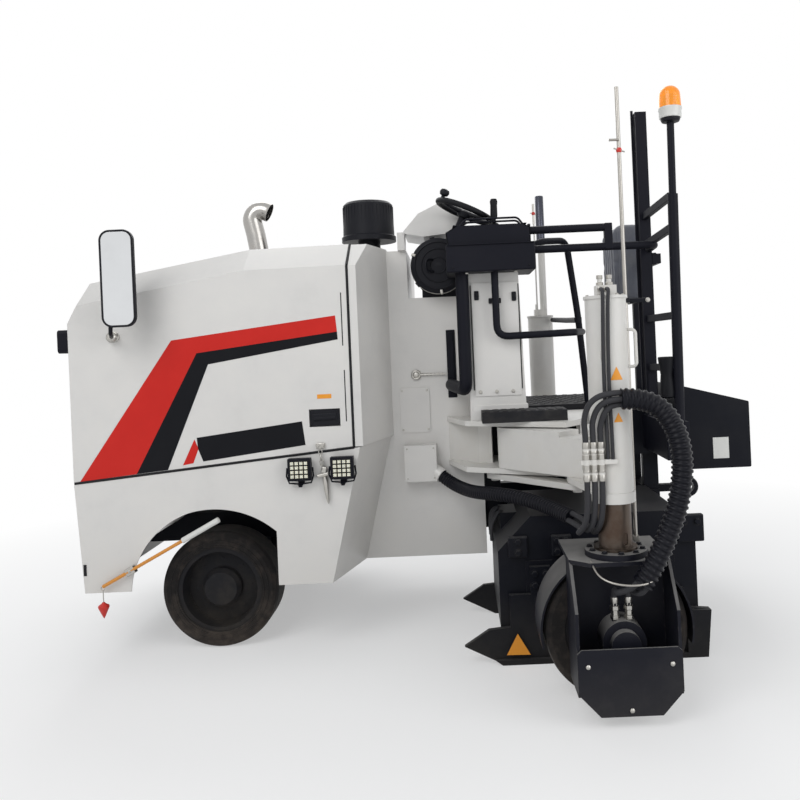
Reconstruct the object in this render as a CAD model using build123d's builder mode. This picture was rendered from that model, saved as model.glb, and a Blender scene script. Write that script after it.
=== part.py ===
"""Compact four-wheeled cold planer, 500 mm milling width, in named sub-parts.

Millimetres. X runs forward to the engine end, Y to the machine's left, Z up
from the ground. Everything is drawn about the chassis centre plane and moved by
ORIGIN as it is written, so that the row's origin is the middle of the outline
on the ground with the left leg swung out.
"""

import math
import os

from build123d import *

os.makedirs("parts", exist_ok=True)

# ------------------------------------------------------------ driving sizes
ORIGIN = (-212.0, -321.5, 0.0)

RUN = 0.06  # radial clearance of a turning pin
SEAT = 0.3  # gap of a sliding or resting piece to its seat
CLEAR = 6.0  # gap between plates that pass each other

# wheels: 22 x 8 x 16 in press-on solid tyres
TYRE_R = 279.5
TYRE_W = 203.0
BAND_R = 203.0
TYRE_SHOULDER = 24.0

# front axle
FRONT_X = 1185.0
FRONT_Y = 498.5
KINGPIN_Y = 330.0
KINGPIN_R = 22.0
AXLE_Z0, AXLE_Z1 = 235.0, 345.0
EYE_T = 35.0  # axle eyes, above and below the knuckle
SPINDLE_R = 30.0
STEER_ARM = 150.0
TIE_Z = 240.0

# chassis
RAIL_Y = 195.0
RAIL_W = 70.0
RAIL_Z0, RAIL_Z1 = 440.0, 600.0
RAIL_FRONT, RAIL_BACK = 1700.0, -1050.0
DECK_Y0, DECK_Y1 = -450.0, 280.0  # rear box frame over the drum's side
PLATE_LO, PLATE_HI = 800.0, 1045.0  # outside heights of box frame and bracket
PLATE_T = 25.0

# body panels
SHEET = 5.0
HALF_W = 750.0
WAIST_Y = 350.0  # half width of the middle body
NOSE_X = 1790.0
SKIRT_Z = 335.0
SKIRT_RAKE = 30.0  # how far the nose leans back down to the skirt
HOOD_REAR = 490.0
SEAM_FRONT_Z, SEAM_REAR_Z = 846.0, 958.0  # hood seam
SEAM_GAP = 4.0
RIDGE = ((HOOD_REAR, 1918.0), (967.0, 1912.0), (1745.0, 1782.0), (NOSE_X, 1700.0))
SHOULDER_IN, SHOULDER_DROP = 150.0, 115.0
TAIL_X = 611.0  # fender's rear corner at the skirt
TAIL_LEAN = 156.0  # how far that edge leans back up to TAIL_TOP_Z
TAIL_TOP_Z = 975.0
WAIST_RUN = 111.0  # how far the tail wall runs back to the waist
COWL_X = 445.0  # where the cowl starts to narrow
COWL_TOP = 1915.0
MID_TOP = 1905.0
MID_BACK = -120.0
CANISTER_X, CANISTER_Z, CANISTER_R = 67.0, 1813.0, 135.0
JBOX_X0, JBOX_X1, JBOX_D = 118.0, 280.0, 74.0  # junction box on the middle body
SPIGOT_IN, SPIGOT_OUT = (150.0, 374.0, 790.0), (94.0, 407.0, 750.0)

# swinging leg
ARM_P = (-246.5, 680.0)  # main pivot of the swing arm
ARM_A = (-580.0, 1060.0)  # arm's outer pin, on the leg
LINK_SPAN = (79.9, -60.2)  # guide pivot from the main one
PIN_R, LINK_PIN_R = 30.0, 20.0
ARM_W, LINK_W, LINK_T = 130.0, 80.0, 26.0
LEG_X, LEG_Y = -580.0, 1380.0
FIXED_X, FIXED_Y = -550.0, -620.0
WHEEL_IN = 140.0  # column axis to the tyre's middle
COLUMN_R = 64.0
BARREL_WALL = 10.0
BARREL_BORE = 68.0
BARREL_Z0, BARREL_Z1 = 790.0, 1560.0
COLUMN_TOP = 1330.0
FLANGE_R, FLANGE_Z0, FLANGE_Z1 = 118.0, 588.0, 610.0
YOKE_HALF = 190.0
YOKE_OUT = 170.0  # column axis to the motor cover
YOKE_WALL = 12.0
COUPLER_X = (-524.0, -496.0, -468.0)
COUPLER_Y, COUPLER_Z0, COUPLER_Z1 = 1466.0, 890.0, 1020.0
LEG_HOSE_END = (-448.0, 1160.0, 682.0)  # where the lower sleeve ends under the leg
SLEEVE_TOP, SLEEVE_END = (-600.0, 1502.0, 1186.0), (-640.0, 1546.0, 520.0)
MUD_R = 290.0  # inside of the mudguard

# milling unit
CUT = 500.0
DRUM_X, DRUM_Y, DRUM_Z = -640.0, 595.0, 325.0
DRUM_R, TIP_R = 190.0, 280.0
TOOLS_PER_SIDE = 16
TOOL_PITCH_DEG = 37.0
WALL_Y0, WALL_Y1 = 290.0, 900.0
WALL_T = 16.0
HOUSING_FRONT, HOUSING_BACK, HOUSING_TOP = -150.0, -1020.0, 636.0
SKID_T = 25.0


# ------------------------------------------------------------ small helpers
def slab(x0, x1, y0, y1, z0, z1, mode=Mode.ADD):
    """A box given by its two corners, in the open part."""
    with Locations(((x0 + x1) / 2, (y0 + y1) / 2, (z0 + z1) / 2)):
        Box(abs(x1 - x0), abs(y1 - y0), abs(z1 - z0), mode=mode)


def rod(p, q, r, mode=Mode.ADD):
    """A round bar from p to q, in the open part."""
    p, q = Vector(*p), Vector(*q)
    with BuildSketch(Plane(origin=p, z_dir=q - p)) as section:
        Circle(r)
    extrude(section.sketch, amount=(q - p).length, mode=mode)


def side(y):
    """The side-view plane at y: local x is X, local y is Z, and it extrudes to -Y."""
    return Plane.XZ.offset(-y)


def prism(points, y0, y1, mode=Mode.ADD):
    """A side-view outline carried from y0 to y1."""
    with BuildSketch(side(y1)) as section:
        with BuildLine():
            Polyline(*points, close=True)
        make_face()
    extrude(section.sketch, amount=y1 - y0, mode=mode)


def plate(points, z0, z1, radius=0.0, mode=Mode.ADD):
    """A plan-view outline carried from z0 to z1, its corners rounded."""
    with BuildSketch(Plane.XY.offset(z0)) as section:
        with BuildLine():
            Polyline(*points, close=True)
        make_face()
        if radius:
            fillet(section.vertices(), radius)
    extrude(section.sketch, amount=z1 - z0, mode=mode)


def panel(corners, thickness, mode=Mode.ADD):
    """A flat sheet on corners, thick towards the side they turn anticlockwise from."""
    a, b, c = (Vector(*p) for p in corners[:3])
    flat = Plane(origin=a, x_dir=b - a, z_dir=(b - a).cross(c - b))
    local = [flat.to_local_coords(Vector(*p)) for p in corners]
    with BuildSketch(flat) as section:
        with BuildLine():
            Polyline(*[(p.X, p.Y) for p in local], close=True)
        make_face()
    extrude(section.sketch, amount=thickness, mode=mode)


def bent(points, section_r, bore_r=0.0, share=0.45, mode=Mode.ADD):
    """A round tube or bar along points, each bend as large as its two runs allow."""
    points = [Vector(*p) for p in points]
    radii = []
    for a, b, c in zip(points, points[1:], points[2:]):
        turn = math.radians((b - a).get_angle(c - b))
        radii.append(share * min((b - a).length, (c - b).length) / math.tan(turn / 2))
    with BuildLine() as path:
        if radii:
            FilletPolyline(*points, radius=radii)
        else:
            Line(*points)
    with BuildSketch(Plane(origin=path.line @ 0, z_dir=path.line % 0)) as section:
        Circle(section_r)
        if bore_r:
            Circle(bore_r, mode=Mode.SUBTRACT)
    sweep(section.sketch, path=path.line, mode=mode)
    return radii


def write(builder, label, place=Location(), flip=False):
    """Name a finished sub-part, place it and write it in the row's frame."""
    builder.part.label = label
    body = builder.part.mirror(Plane.XZ) if flip else builder.part
    moved = Pos(*ORIGIN) * place * body
    moved.label = label
    export_step(moved, f"parts/{label}.step")


def seam_z(x):
    """Height of the hood seam at x."""
    return SEAM_FRONT_Z + (SEAM_REAR_Z - SEAM_FRONT_Z) * (NOSE_X - x) / (NOSE_X - HOOD_REAR)


def nose_x(z):
    """The raked nose below the seam, at height z."""
    return NOSE_X - SKIRT_RAKE * (SEAM_FRONT_Z - z) / (SEAM_FRONT_Z - SKIRT_Z)


def tail_x(z, y=HALF_W):
    """The leaning tail wall of the fender, at height z and width y."""
    lean = TAIL_LEAN * (z - SKIRT_Z) / (TAIL_TOP_Z - SKIRT_Z)
    return TAIL_X - lean - WAIST_RUN * (HALF_W - y) / (HALF_W - WAIST_Y)


# ============================================================ chassis
with BuildPart() as chassis_frame:
    inner = RAIL_Y - RAIL_W / 2
    for y in (-RAIL_Y, RAIL_Y):
        slab(RAIL_BACK, RAIL_FRONT, y - RAIL_W / 2, y + RAIL_W / 2, RAIL_Z0, RAIL_Z1)
        slab(RAIL_BACK - 1, RAIL_FRONT + 1, y - RAIL_W / 2 + 8, y + RAIL_W / 2 - 8,
             RAIL_Z0 + 8, RAIL_Z1 - 8, Mode.SUBTRACT)
    for x0, x1 in ((1620, RAIL_FRONT), (FRONT_X - 60, FRONT_X + 60), (420, 500),
                   (-200, -150), (RAIL_BACK, RAIL_BACK + 60)):
        slab(x0, x1, -inner, inner, RAIL_Z0, RAIL_Z1)
    # pedestal of the swinging axle
    slab(FRONT_X - 50, FRONT_X + 50, -60, 60, AXLE_Z1, RAIL_Z0)
    # posts, and the box frame that carries the deck, the bracket and the right leg
    for x in (-170, -600, -1010):
        for y in (-RAIL_Y, RAIL_Y):
            slab(x - 40, x + 40, y - 20, y + 20, RAIL_Z1, PLATE_LO)
    slab(RAIL_BACK, MID_BACK, DECK_Y0, DECK_Y1, PLATE_LO, PLATE_HI)
    slab(RAIL_BACK + 12, MID_BACK - 12, DECK_Y0 + 12, DECK_Y1 - 12,
         PLATE_LO + 12, PLATE_HI - 12, Mode.SUBTRACT)
    for x0, x1 in ((-550, -220), (-960, -650)):
        slab(x0, x1, -150, 150, PLATE_LO - 1, PLATE_LO + 13, Mode.SUBTRACT)
write(chassis_frame, "chassis_frame")

with BuildPart() as front_axle:
    slab(FRONT_X - 45, FRONT_X + 45, -260, 260, AXLE_Z0, AXLE_Z1)
    for s in (-1, 1):
        slab(FRONT_X - 45, FRONT_X + 45, s * 245, s * 275, AXLE_Z0 - 45, AXLE_Z1 + 25)
        for z0 in (AXLE_Z0 - 45, AXLE_Z1 + 25 - EYE_T):
            slab(FRONT_X - 45, FRONT_X + 45, s * 250, s * KINGPIN_Y, z0, z0 + EYE_T)
            with Locations((FRONT_X, s * KINGPIN_Y, z0 + EYE_T / 2)):
                Cylinder(45, EYE_T)
        with Locations((FRONT_X, s * KINGPIN_Y, (AXLE_Z0 + AXLE_Z1) / 2 - 10)):
            Cylinder(KINGPIN_R + RUN, 300, mode=Mode.SUBTRACT)
write(front_axle, "front_axle")

EYE_LO, EYE_HI = AXLE_Z0 - 45 + EYE_T, AXLE_Z1 + 25 - EYE_T  # faces of the eyes
with BuildPart() as knuckle:
    with Locations((FRONT_X, KINGPIN_Y, (EYE_LO + EYE_HI) / 2)):
        Cylinder(40, EYE_HI - EYE_LO - 12)
        Cylinder(KINGPIN_R, EYE_HI - EYE_LO + 2 * EYE_T)
    rod((FRONT_X, KINGPIN_Y, TYRE_R), (FRONT_X, FRONT_Y + 60, TYRE_R), SPINDLE_R)
    rod((FRONT_X, KINGPIN_Y, TYRE_R), (FRONT_X, FRONT_Y - 70, TYRE_R), SPINDLE_R + 14)
    slab(FRONT_X - STEER_ARM, FRONT_X - 20, KINGPIN_Y - 20, KINGPIN_Y + 20, 262, 298)
    with Locations((FRONT_X - STEER_ARM, KINGPIN_Y, 280)):
        Cylinder(22, 36)
        Cylinder(10 + RUN, 60, mode=Mode.SUBTRACT)
write(knuckle, "knuckle_left")
write(knuckle, "knuckle_right", flip=True)

with BuildPart() as tie_rod:
    rod((FRONT_X - STEER_ARM, -KINGPIN_Y, TIE_Z), (FRONT_X - STEER_ARM, KINGPIN_Y, TIE_Z), 14)
    for y in (-KINGPIN_Y, KINGPIN_Y):
        with Locations((FRONT_X - STEER_ARM, y, TIE_Z)):
            Cylinder(22, 34)
        with Locations((FRONT_X - STEER_ARM, y, TIE_Z + 30)):
            Cylinder(10, 70)
write(tie_rod, "tie_rod")

# ============================================================ wheels
with BuildPart() as tyre:
    with BuildSketch(Plane.XY):
        with BuildLine():
            half = TYRE_W / 2
            Polyline((BAND_R, -half), (TYRE_R - TYRE_SHOULDER, -half),
                     (TYRE_R - 6, -half + 10), (TYRE_R, -half + 32), (TYRE_R, half - 32),
                     (TYRE_R - 6, half - 10), (TYRE_R - TYRE_SHOULDER, half),
                     (BAND_R, half), close=True)
        make_face()
    revolve(axis=Axis.Y)

with BuildPart() as front_rim:
    with BuildSketch(Plane.XY):
        with BuildLine():
            Polyline((SPINDLE_R + RUN, -62), (80, -62), (80, -30), (165, -6), (181, -94),
                     (BAND_R, -94), (BAND_R, 94), (181, 94), (172, 20), (95, 30), (95, 62),
                     (78, 84), (0, 90), (0, 62), (SPINDLE_R + RUN, 62), close=True)
        make_face()
    revolve(axis=Axis.Y)

with BuildPart() as driven_rim:
    with BuildSketch(Plane.XY):
        with BuildLine():
            Polyline((45 + RUN, -11), (160, -11), (181, -94), (BAND_R, -94), (BAND_R, 94),
                     (181, 94), (168, 18), (110, 22), (100, 42), (45 + RUN, 42), close=True)
        make_face()
    revolve(axis=Axis.Y)

WHEELS = (  # name, x, y, rim, whether its outside faces the machine's right
    ("front_left", FRONT_X, FRONT_Y, front_rim, False),
    ("front_right", FRONT_X, -FRONT_Y, front_rim, True),
    ("rear_left", LEG_X, LEG_Y - WHEEL_IN, driven_rim, True),
    ("rear_right", FIXED_X, FIXED_Y + WHEEL_IN, driven_rim, False),
)
for name, x, y, rim, turned in WHEELS:
    write(tyre, f"tyre_{name}", Pos(x, y, TYRE_R))
    write(rim, f"rim_{name}", Pos(x, y, TYRE_R), flip=turned)

# ============================================================ body panels
with BuildPart() as fender:
    top = TAIL_TOP_Z - 18
    with BuildSketch(side(HALF_W)):
        with BuildLine():
            Polyline((862, 585), (862, SKIRT_Z), (TAIL_X, SKIRT_Z),
                     (tail_x(top), seam_z(tail_x(top)) - SEAM_GAP),
                     (NOSE_X, SEAM_FRONT_Z - SEAM_GAP), (nose_x(SKIRT_Z), SKIRT_Z),
                     (1545, SKIRT_Z))
            ThreePointArc((1545, SKIRT_Z), (1455, 560), (1250, 690))
            ThreePointArc((1250, 690), (1060, 688), (862, 585))
        make_face()
    extrude(amount=SHEET)
    # wrap round the nose
    prism([(nose_x(SKIRT_Z), SKIRT_Z), (NOSE_X, SEAM_FRONT_Z - SEAM_GAP),
           (NOSE_X - SHEET, SEAM_FRONT_Z - SEAM_GAP), (nose_x(SKIRT_Z) - SHEET, SKIRT_Z)],
          450, HALF_W - SHEET)
    # tail wall, in to the waist
    panel([(tail_x(SKIRT_Z), HALF_W - 1, SKIRT_Z), (tail_x(SKIRT_Z, WAIST_Y), WAIST_Y, SKIRT_Z),
           (tail_x(top, WAIST_Y), WAIST_Y, top), (tail_x(top), HALF_W - 1, top)], -SHEET)
    # mudguard liner over the wheel
    with BuildSketch(side(HALF_W - SHEET)) as liner:
        with BuildLine():
            ThreePointArc((1440, 585), (1358, 648), (1252, 688))
            ThreePointArc((1252, 688), (1060, 686), (866, 585))
            Line((866, 585), (862, 592))
            ThreePointArc((862, 592), (1060, 693), (1253, 695))
            ThreePointArc((1253, 695), (1362, 654), (1446, 590))
            Line((1446, 590), (1440, 585))
        make_face()
    extrude(amount=HALF_W - SHEET - 335)
write(fender, "fender_left")
write(fender, "fender_right", flip=True)

with BuildPart() as front_panel:
    prism([(nose_x(SKIRT_Z), SKIRT_Z), (NOSE_X, SEAM_FRONT_Z - SEAM_GAP),
           (NOSE_X - SHEET, SEAM_FRONT_Z - SEAM_GAP), (nose_x(SKIRT_Z) - SHEET, SKIRT_Z)],
          -450 + SEAT, 450 - SEAT)
    # stays back to the rails
    for y in (-RAIL_Y, RAIL_Y):
        slab(RAIL_FRONT, nose_x(500) - SHEET + 1, y - 20, y + 20, 490, 510)
    # outer halves of the hood hinges
    for s in (-1, 1):
        rod((NOSE_X + 10, s * 260, SEAM_FRONT_Z), (NOSE_X + 10, s * 320, SEAM_FRONT_Z), 10)
        rod((NOSE_X + 10, s * 320, SEAM_FRONT_Z), (NOSE_X + 10, s * 378, SEAM_FRONT_Z), 5)
        slab(NOSE_X - 1, NOSE_X + 6, s * 260, s * 320, SEAM_FRONT_Z - 60, SEAM_FRONT_Z)
write(front_panel, "front_panel")

with BuildPart() as hood_shell:
    prism([(HOOD_REAR, SEAM_REAR_Z), *RIDGE, (NOSE_X, SEAM_FRONT_Z)], -HALF_W, HALF_W)
    for (xa, za), (xb, zb) in zip(RIDGE, RIDGE[1:]):
        for s in (-1, 1):
            along = Vector(xb - xa, 0, zb - za)
            out = along.cross(Vector(0, s * SHOULDER_IN, -SHOULDER_DROP)) * s
            split(bisect_by=Plane(origin=(xa, s * (HALF_W - SHOULDER_IN), za), z_dir=out),
                  keep=Keep.BOTTOM)
    offset(amount=-SHEET, openings=[hood_shell.faces().sort_by(Axis.X)[0],
                                    hood_shell.faces().sort_by(Axis.Z)[0]])
    # notch round the air intake, hole for the exhaust
    slab(400, 615, -70, 270, 1850, 1960, Mode.SUBTRACT)
    with Locations((1010, 100, 1900)):
        Cylinder(50 + SEAT, 200, mode=Mode.SUBTRACT)
    # radiator grille in the nose
    with BuildSketch(Plane.YZ.offset(NOSE_X - 30)):
        for y in (-235, 235):
            with Locations((y, 1270)):
                with GridLocations(0, 44, 1, 14):
                    SlotOverall(400, 20)
    extrude(amount=60, mode=Mode.SUBTRACT)
    # latch pockets, low at the rear of each side
    for s in (-1, 1):
        y0, y1 = sorted((s * (HALF_W - 26), s * HALF_W))
        slab(542, 692, y0, y1, 1056, 1144)
        y0, y1 = sorted((s * (HALF_W - 23), s * (HALF_W + 1)))
        slab(545, 689, y0, y1, 1059, 1141, Mode.SUBTRACT)
    # inner halves of the hinges
    for s in (-1, 1):
        rod((NOSE_X + 10, s * (320 + SEAT), SEAM_FRONT_Z), (NOSE_X + 10, s * 378, SEAM_FRONT_Z), 10)
        slab(NOSE_X - 1, NOSE_X + 6, s * (320 + SEAT), s * 378, SEAM_FRONT_Z, SEAM_FRONT_Z + 60)
        rod((NOSE_X + 10, s * 310, SEAM_FRONT_Z), (NOSE_X + 10, s * 390, SEAM_FRONT_Z), 5 + RUN,
            Mode.SUBTRACT)
write(hood_shell, "hood_shell")

COWL_END = COWL_X - WAIST_RUN  # where the cowl meets the middle body
with BuildPart() as rear_cowl:
    front = HOOD_REAR - CLEAR
    base = TAIL_TOP_Z - 14
    plate([(front, -HALF_W), (COWL_X, -HALF_W), (COWL_END, -WAIST_Y), (COWL_END, WAIST_Y),
           (COWL_X, HALF_W), (front, HALF_W)], base, COWL_TOP)
    for s in (-1, 1):
        split(bisect_by=Plane(origin=(front, s * (HALF_W - SHOULDER_IN), COWL_TOP),
                              z_dir=(0, s * SHOULDER_DROP, SHOULDER_IN)), keep=Keep.BOTTOM)
    offset(amount=-SHEET, openings=[rear_cowl.faces().sort_by(Axis.X)[-1],
                                    rear_cowl.faces().sort_by(Axis.Z)[0]])
    slab(front - 2, 612, -67, 267, COWL_TOP - SHEET, COWL_TOP)
write(rear_cowl, "rear_cowl")

with BuildPart() as mid_body:
    t = SHEET
    low = tail_x(SKIRT_Z, WAIST_Y)
    high = tail_x(TAIL_TOP_Z - 18, WAIST_Y)
    shelf = CANISTER_Z - CANISTER_R - 18
    prism([(MID_BACK, SKIRT_Z), (low, SKIRT_Z), (high, TAIL_TOP_Z - 18), (COWL_END, TAIL_TOP_Z - 14),
           (COWL_END, MID_TOP), (CANISTER_X + 163, MID_TOP), (CANISTER_X + 163, shelf),
           (MID_BACK, shelf)], -WAIST_Y, WAIST_Y)
    prism([(MID_BACK + t, SKIRT_Z - 20), (700, SKIRT_Z - 20), (700, MID_TOP - t),
           (CANISTER_X + 163 + t, MID_TOP - t), (CANISTER_X + 163 + t, shelf - t),
           (MID_BACK + t, shelf - t)], -WAIST_Y + t, WAIST_Y - t, Mode.SUBTRACT)
    for y in (-RAIL_Y, RAIL_Y):
        slab(-200, 0, y - RAIL_W / 2, y + RAIL_W / 2, RAIL_Z0, RAIL_Z1, Mode.SUBTRACT)
    # bolted cover on the left, and the junction box with its hose spigot
    with BuildSketch(side(WAIST_Y + 5)):
        with Locations((219, 1085)):
            RectangleRounded(154, 230, 14)
    extrude(amount=5)
    slab(JBOX_X0, JBOX_X1, WAIST_Y, WAIST_Y + JBOX_D, 728, 911)
    rod(SPIGOT_IN, SPIGOT_OUT, 36)
write(mid_body, "mid_body")

with BuildPart() as engine_block:
    slab(640, 1500, -330, 330, RAIL_Z1, 1500)
write(engine_block, "engine_block")

# ============================================================ intake and exhaust
with BuildPart() as air_precleaner:
    with BuildSketch(Plane.XZ):
        with BuildLine():
            Polyline((0, COWL_TOP), (60, COWL_TOP), (60, 1990), (147, 1990), (147, 2016),
                     (139, 2022), (134, 2188), (120, 2202), (0, 2204), close=True)
        make_face()
    revolve(axis=Axis.Z)
write(air_precleaner, "air_precleaner", Pos(443, 100, 0))

with BuildPart() as air_cleaner:
    with BuildSketch(Plane.XY):
        with BuildLine():
            r = CANISTER_R
            Polyline((0, -60), (r, -60), (r, 395), (r + 4, 395), (r + 4, 436), (r - 14, 448),
                     (0, 450), close=True)
        make_face()
    revolve(axis=Axis.Y)
    # clamps on the rim and the saddle it lies on
    for a in (40, 160, 280):
        with Locations(Location((0, 415, 0), (0, a, 0))):
            with Locations((r + 5, 0, 0)):
                Box(12, 40, 26)
    slab(-90, 90, -20, 330, -r - 18, -40)
    bent([(25, 449, -30), (60, 478, -30), (60, 478, 30), (25, 449, 30)], 6)
write(air_cleaner, "air_cleaner", Pos(CANISTER_X, 0, CANISTER_Z))

with BuildPart() as exhaust_pipe:
    with BuildLine() as path:
        Line((1010, 100, 1860), (1010, 100, 2080))
        ThreePointArc((1010, 100, 2080), (1018, 100, 2135), (1044, 100, 2188))
        Line((1044, 100, 2188), (1068, 100, 2222))
    with BuildSketch(Plane((1010, 100, 1860))) as section:
        Circle(50)
        Circle(46, mode=Mode.SUBTRACT)
    sweep(section.sketch, path=path.line, transition=Transition.ROUND)
write(exhaust_pipe, "exhaust_pipe")

# ============================================================ operator's stand
with BuildPart() as platform_deck:
    slab(RAIL_BACK, MID_BACK - 5, DECK_Y0, DECK_Y1 - 10, PLATE_HI, PLATE_HI + 30)
    slab(-500, -110, 645, 800, PLATE_HI, PLATE_HI + 50)
    chamfer(platform_deck.edges().filter_by(Axis.X).group_by(Axis.Z)[-1], 4)
write(platform_deck, "platform_deck")

PED = (-330.0, -75.0, 380.0, 640.0)  # pedestal's footprint
CONSOLE_Z0, CONSOLE_Z1 = 1745.0, 1955.0
with BuildPart() as console_pedestal:
    prism([(PED[0], PLATE_HI), (PED[1] + 15, PLATE_HI), (PED[1], CONSOLE_Z0), (PED[0] + 15, CONSOLE_Z0)],
          PED[2], PED[3])
    slab(PED[0] + 20, PED[1] - 14, PED[3], PED[3] + 5, 1160, 1700)
    slab(PED[0] - 6, PED[1] + 1, PED[2], PED[3] + 4, PLATE_HI, PLATE_HI + 70)
write(console_pedestal, "console_pedestal")

with BuildPart() as control_console:
    prism([(-390, CONSOLE_Z0), (-390, CONSOLE_Z1 - 15), (-350, CONSOLE_Z1), (-10, CONSOLE_Z1),
           (28, 1880), (30, CONSOLE_Z0)], 460, 760)
    fillet(control_console.edges().filter_by(Axis.Y), 8)
    rod((-9.6, 560, 1945), (-50.0, 560, 2069.3), 20)
    # lever with its grip, and the guard rail round the top
    rod((-175, 690, CONSOLE_Z1 - 5), (-178, 690, 2080), 15)
    bent([(-330, 744, CONSOLE_Z1 - 5), (-330, 744, 2005), (-60, 744, 2005), (-20, 744, CONSOLE_Z1 - 5)], 6)
write(control_console, "control_console")

with BuildPart() as dash_cover:
    prism([(246, 1990), (160, 2086), (48, 2138), (-70, 2128), (-120, 2098), (20, 1978), (136, 1968)],
          40, 390)
    fillet(dash_cover.edges().filter_by(Axis.Y), 8)
    slab(CANISTER_X + 168, CANISTER_X + 205, 262, 380, MID_TOP, 1996)
write(dash_cover, "dash_cover")

with BuildPart() as steering_wheel:
    with BuildSketch(Plane.XZ):
        with Locations((140, 0)):
            RegularPolygon(15, 8)
    revolve(axis=Axis.Z)
    with Locations((0, 0, -14)):
        Cylinder(32, 36)
    for a in (30, 150, 270):
        with Locations(Location((0, 0, -6), (0, 0, a))):
            with Locations((78, 0, 0)):
                Box(110, 22, 8)
    # spinner knob
    with Locations((-140, 0, 34)):
        Cylinder(22, 40)
write(steering_wheel, "steering_wheel", Location((-60, 560, 2100), (0, -18, 0)))

with BuildPart() as handrails:
    bent([(-40, 676, CONSOLE_Z0), (-40, 676, PLATE_HI)], 32)
    bent([(-260, 690, CONSOLE_Z0), (-260, 690, 1440), (-600, 690, 1450)], 17, share=0.14)
    bent([(-390, 600, 1925), (-705, 600, 1925), (-705, 600, 1850), (-390, 600, 1850)], 19)
    bent([(-560, 600, 1850), (-600, 690, 1450), (-640, 220, 1400), (-640, 220, PLATE_HI + 30)], 17, share=0.2)
write(handrails, "handrails")

with BuildPart() as post_frame:
    x0, x1 = -1070.0, -1025.0
    slab(x0, x1, 345, 395, PLATE_HI - 215, 2560)
    slab(x0, x1, 280, 745, 830, 1010)
    for z in (1250, 2060):
        slab(x0 + 10, x1 - 5, 395, 715, z, z + 40)
    slab(x0 + 10, x1 + 5, -110, 345, 1780, 1830)
    slab(x0 + 10, x1 - 5, -110, -70, PLATE_HI + 30, 1780)
    rod((-1047, 730, HOUSING_TOP + 80), (-1047, 730, 2400), 27)
write(post_frame, "post_frame")

with BuildPart() as backrest:
    slab(-1019.7, -850, -120, 280, 1590, 2020)
    fillet(backrest.edges().group_by(Axis.X)[-1], 55)
write(backrest, "backrest")

with BuildPart() as beacon:
    with BuildSketch(Plane.XZ):
        with BuildLine():
            Polyline((0, 2400), (44, 2400), (48, 2445), (54, 2450), (53, 2545), (44, 2566), (0, 2572),
                     close=True)
        make_face()
    revolve(axis=Axis.Z)
write(beacon, "beacon", Pos(-1047, 730, 0))

with BuildPart() as rear_box:
    prism([(-1120, 745), (-1120, 1157), (-1440, 1070), (-1440, 745)], -450, 500)
    fillet(rear_box.edges().filter_by(Axis.Y), 8)
    slab(-1120, RAIL_BACK, -400, 270, 830, 1010)
write(rear_box, "rear_box")

with BuildPart() as tow_eye:
    slab(-1215, RAIL_BACK, -20, 20, 545, 585)
    slab(RAIL_BACK - 20, RAIL_BACK, -60, 60, 480, 596)
    with BuildSketch(side(20)):
        with Locations((-1265, 565)):
            Circle(56)
    extrude(amount=40)
    fillet(tow_eye.edges().filter_by(GeomType.CIRCLE).group_by(Axis.Y)[-1], 10)
    rod((-1265, -21, 565), (-1265, 21, 565), 30, Mode.SUBTRACT)
write(tow_eye, "tow_eye")

# ============================================================ swinging leg
LINK_Q = (ARM_P[0] + LINK_SPAN[0], ARM_P[1] + LINK_SPAN[1])
LINK_B = (ARM_A[0] + LINK_SPAN[0], ARM_A[1] + LINK_SPAN[1])
ARM_LEN = math.dist(ARM_P, ARM_A)
ARM_DEG = math.degrees(math.atan2(ARM_A[1] - ARM_P[1], ARM_A[0] - ARM_P[0]))
LINK_Z0 = PLATE_LO - CLEAR - LINK_T

with BuildPart() as swing_bracket:
    outline = [(57, WAIST_Y), (-30, 630), (-480, 880), (-560, 780), (-700, DECK_Y1),
               (MID_BACK, DECK_Y1), (MID_BACK, WAIST_Y)]
    plate(outline, PLATE_LO, PLATE_LO + PLATE_T)
    plate(outline, PLATE_HI - PLATE_T, PLATE_HI)
    # front web, bent round the sweep of the arm
    plate([(50, WAIST_Y), (-95, 510), (-160, 530), (-164, 518), (-102, 499), (34, WAIST_Y)],
          PLATE_LO + PLATE_T, PLATE_HI - PLATE_T)
    # rear web
    plate([(-560, 760), (-690, DECK_Y1), (-670, DECK_Y1), (-545, 745)],
          PLATE_LO + PLATE_T, PLATE_HI - PLATE_T)
    with Locations((ARM_P[0], ARM_P[1], (PLATE_LO + PLATE_HI) / 2)):
        Cylinder(PIN_R, PLATE_HI - PLATE_LO)
    with Locations((LINK_Q[0], LINK_Q[1], PLATE_LO - 22)):
        Cylinder(LINK_PIN_R, 46)
write(swing_bracket, "swing_bracket")

with BuildPart() as swing_arm:
    z0, z1 = PLATE_LO + PLATE_T + SEAT, PLATE_HI - PLATE_T - CLEAR
    with BuildSketch(Plane.XY.offset(z0)):
        with Locations(Location(((ARM_P[0] + ARM_A[0]) / 2, (ARM_P[1] + ARM_A[1]) / 2, 0), (0, 0, ARM_DEG))):
            SlotCenterToCenter(ARM_LEN, ARM_W)
    extrude(amount=z1 - z0)
    # the outer end is stepped down
    with BuildSketch(Plane.XY.offset(z1 - 22)):
        with Locations(Location((ARM_A[0], ARM_A[1], 0), (0, 0, ARM_DEG))):
            Rectangle(300, ARM_W + 20)
    extrude(amount=30, mode=Mode.SUBTRACT)
    for x, y in (ARM_P, ARM_A):
        with Locations((x, y, (z0 + z1) / 2)):
            Cylinder(PIN_R + RUN, z1 - z0 + 10, mode=Mode.SUBTRACT)
write(swing_arm, "swing_arm")

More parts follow.
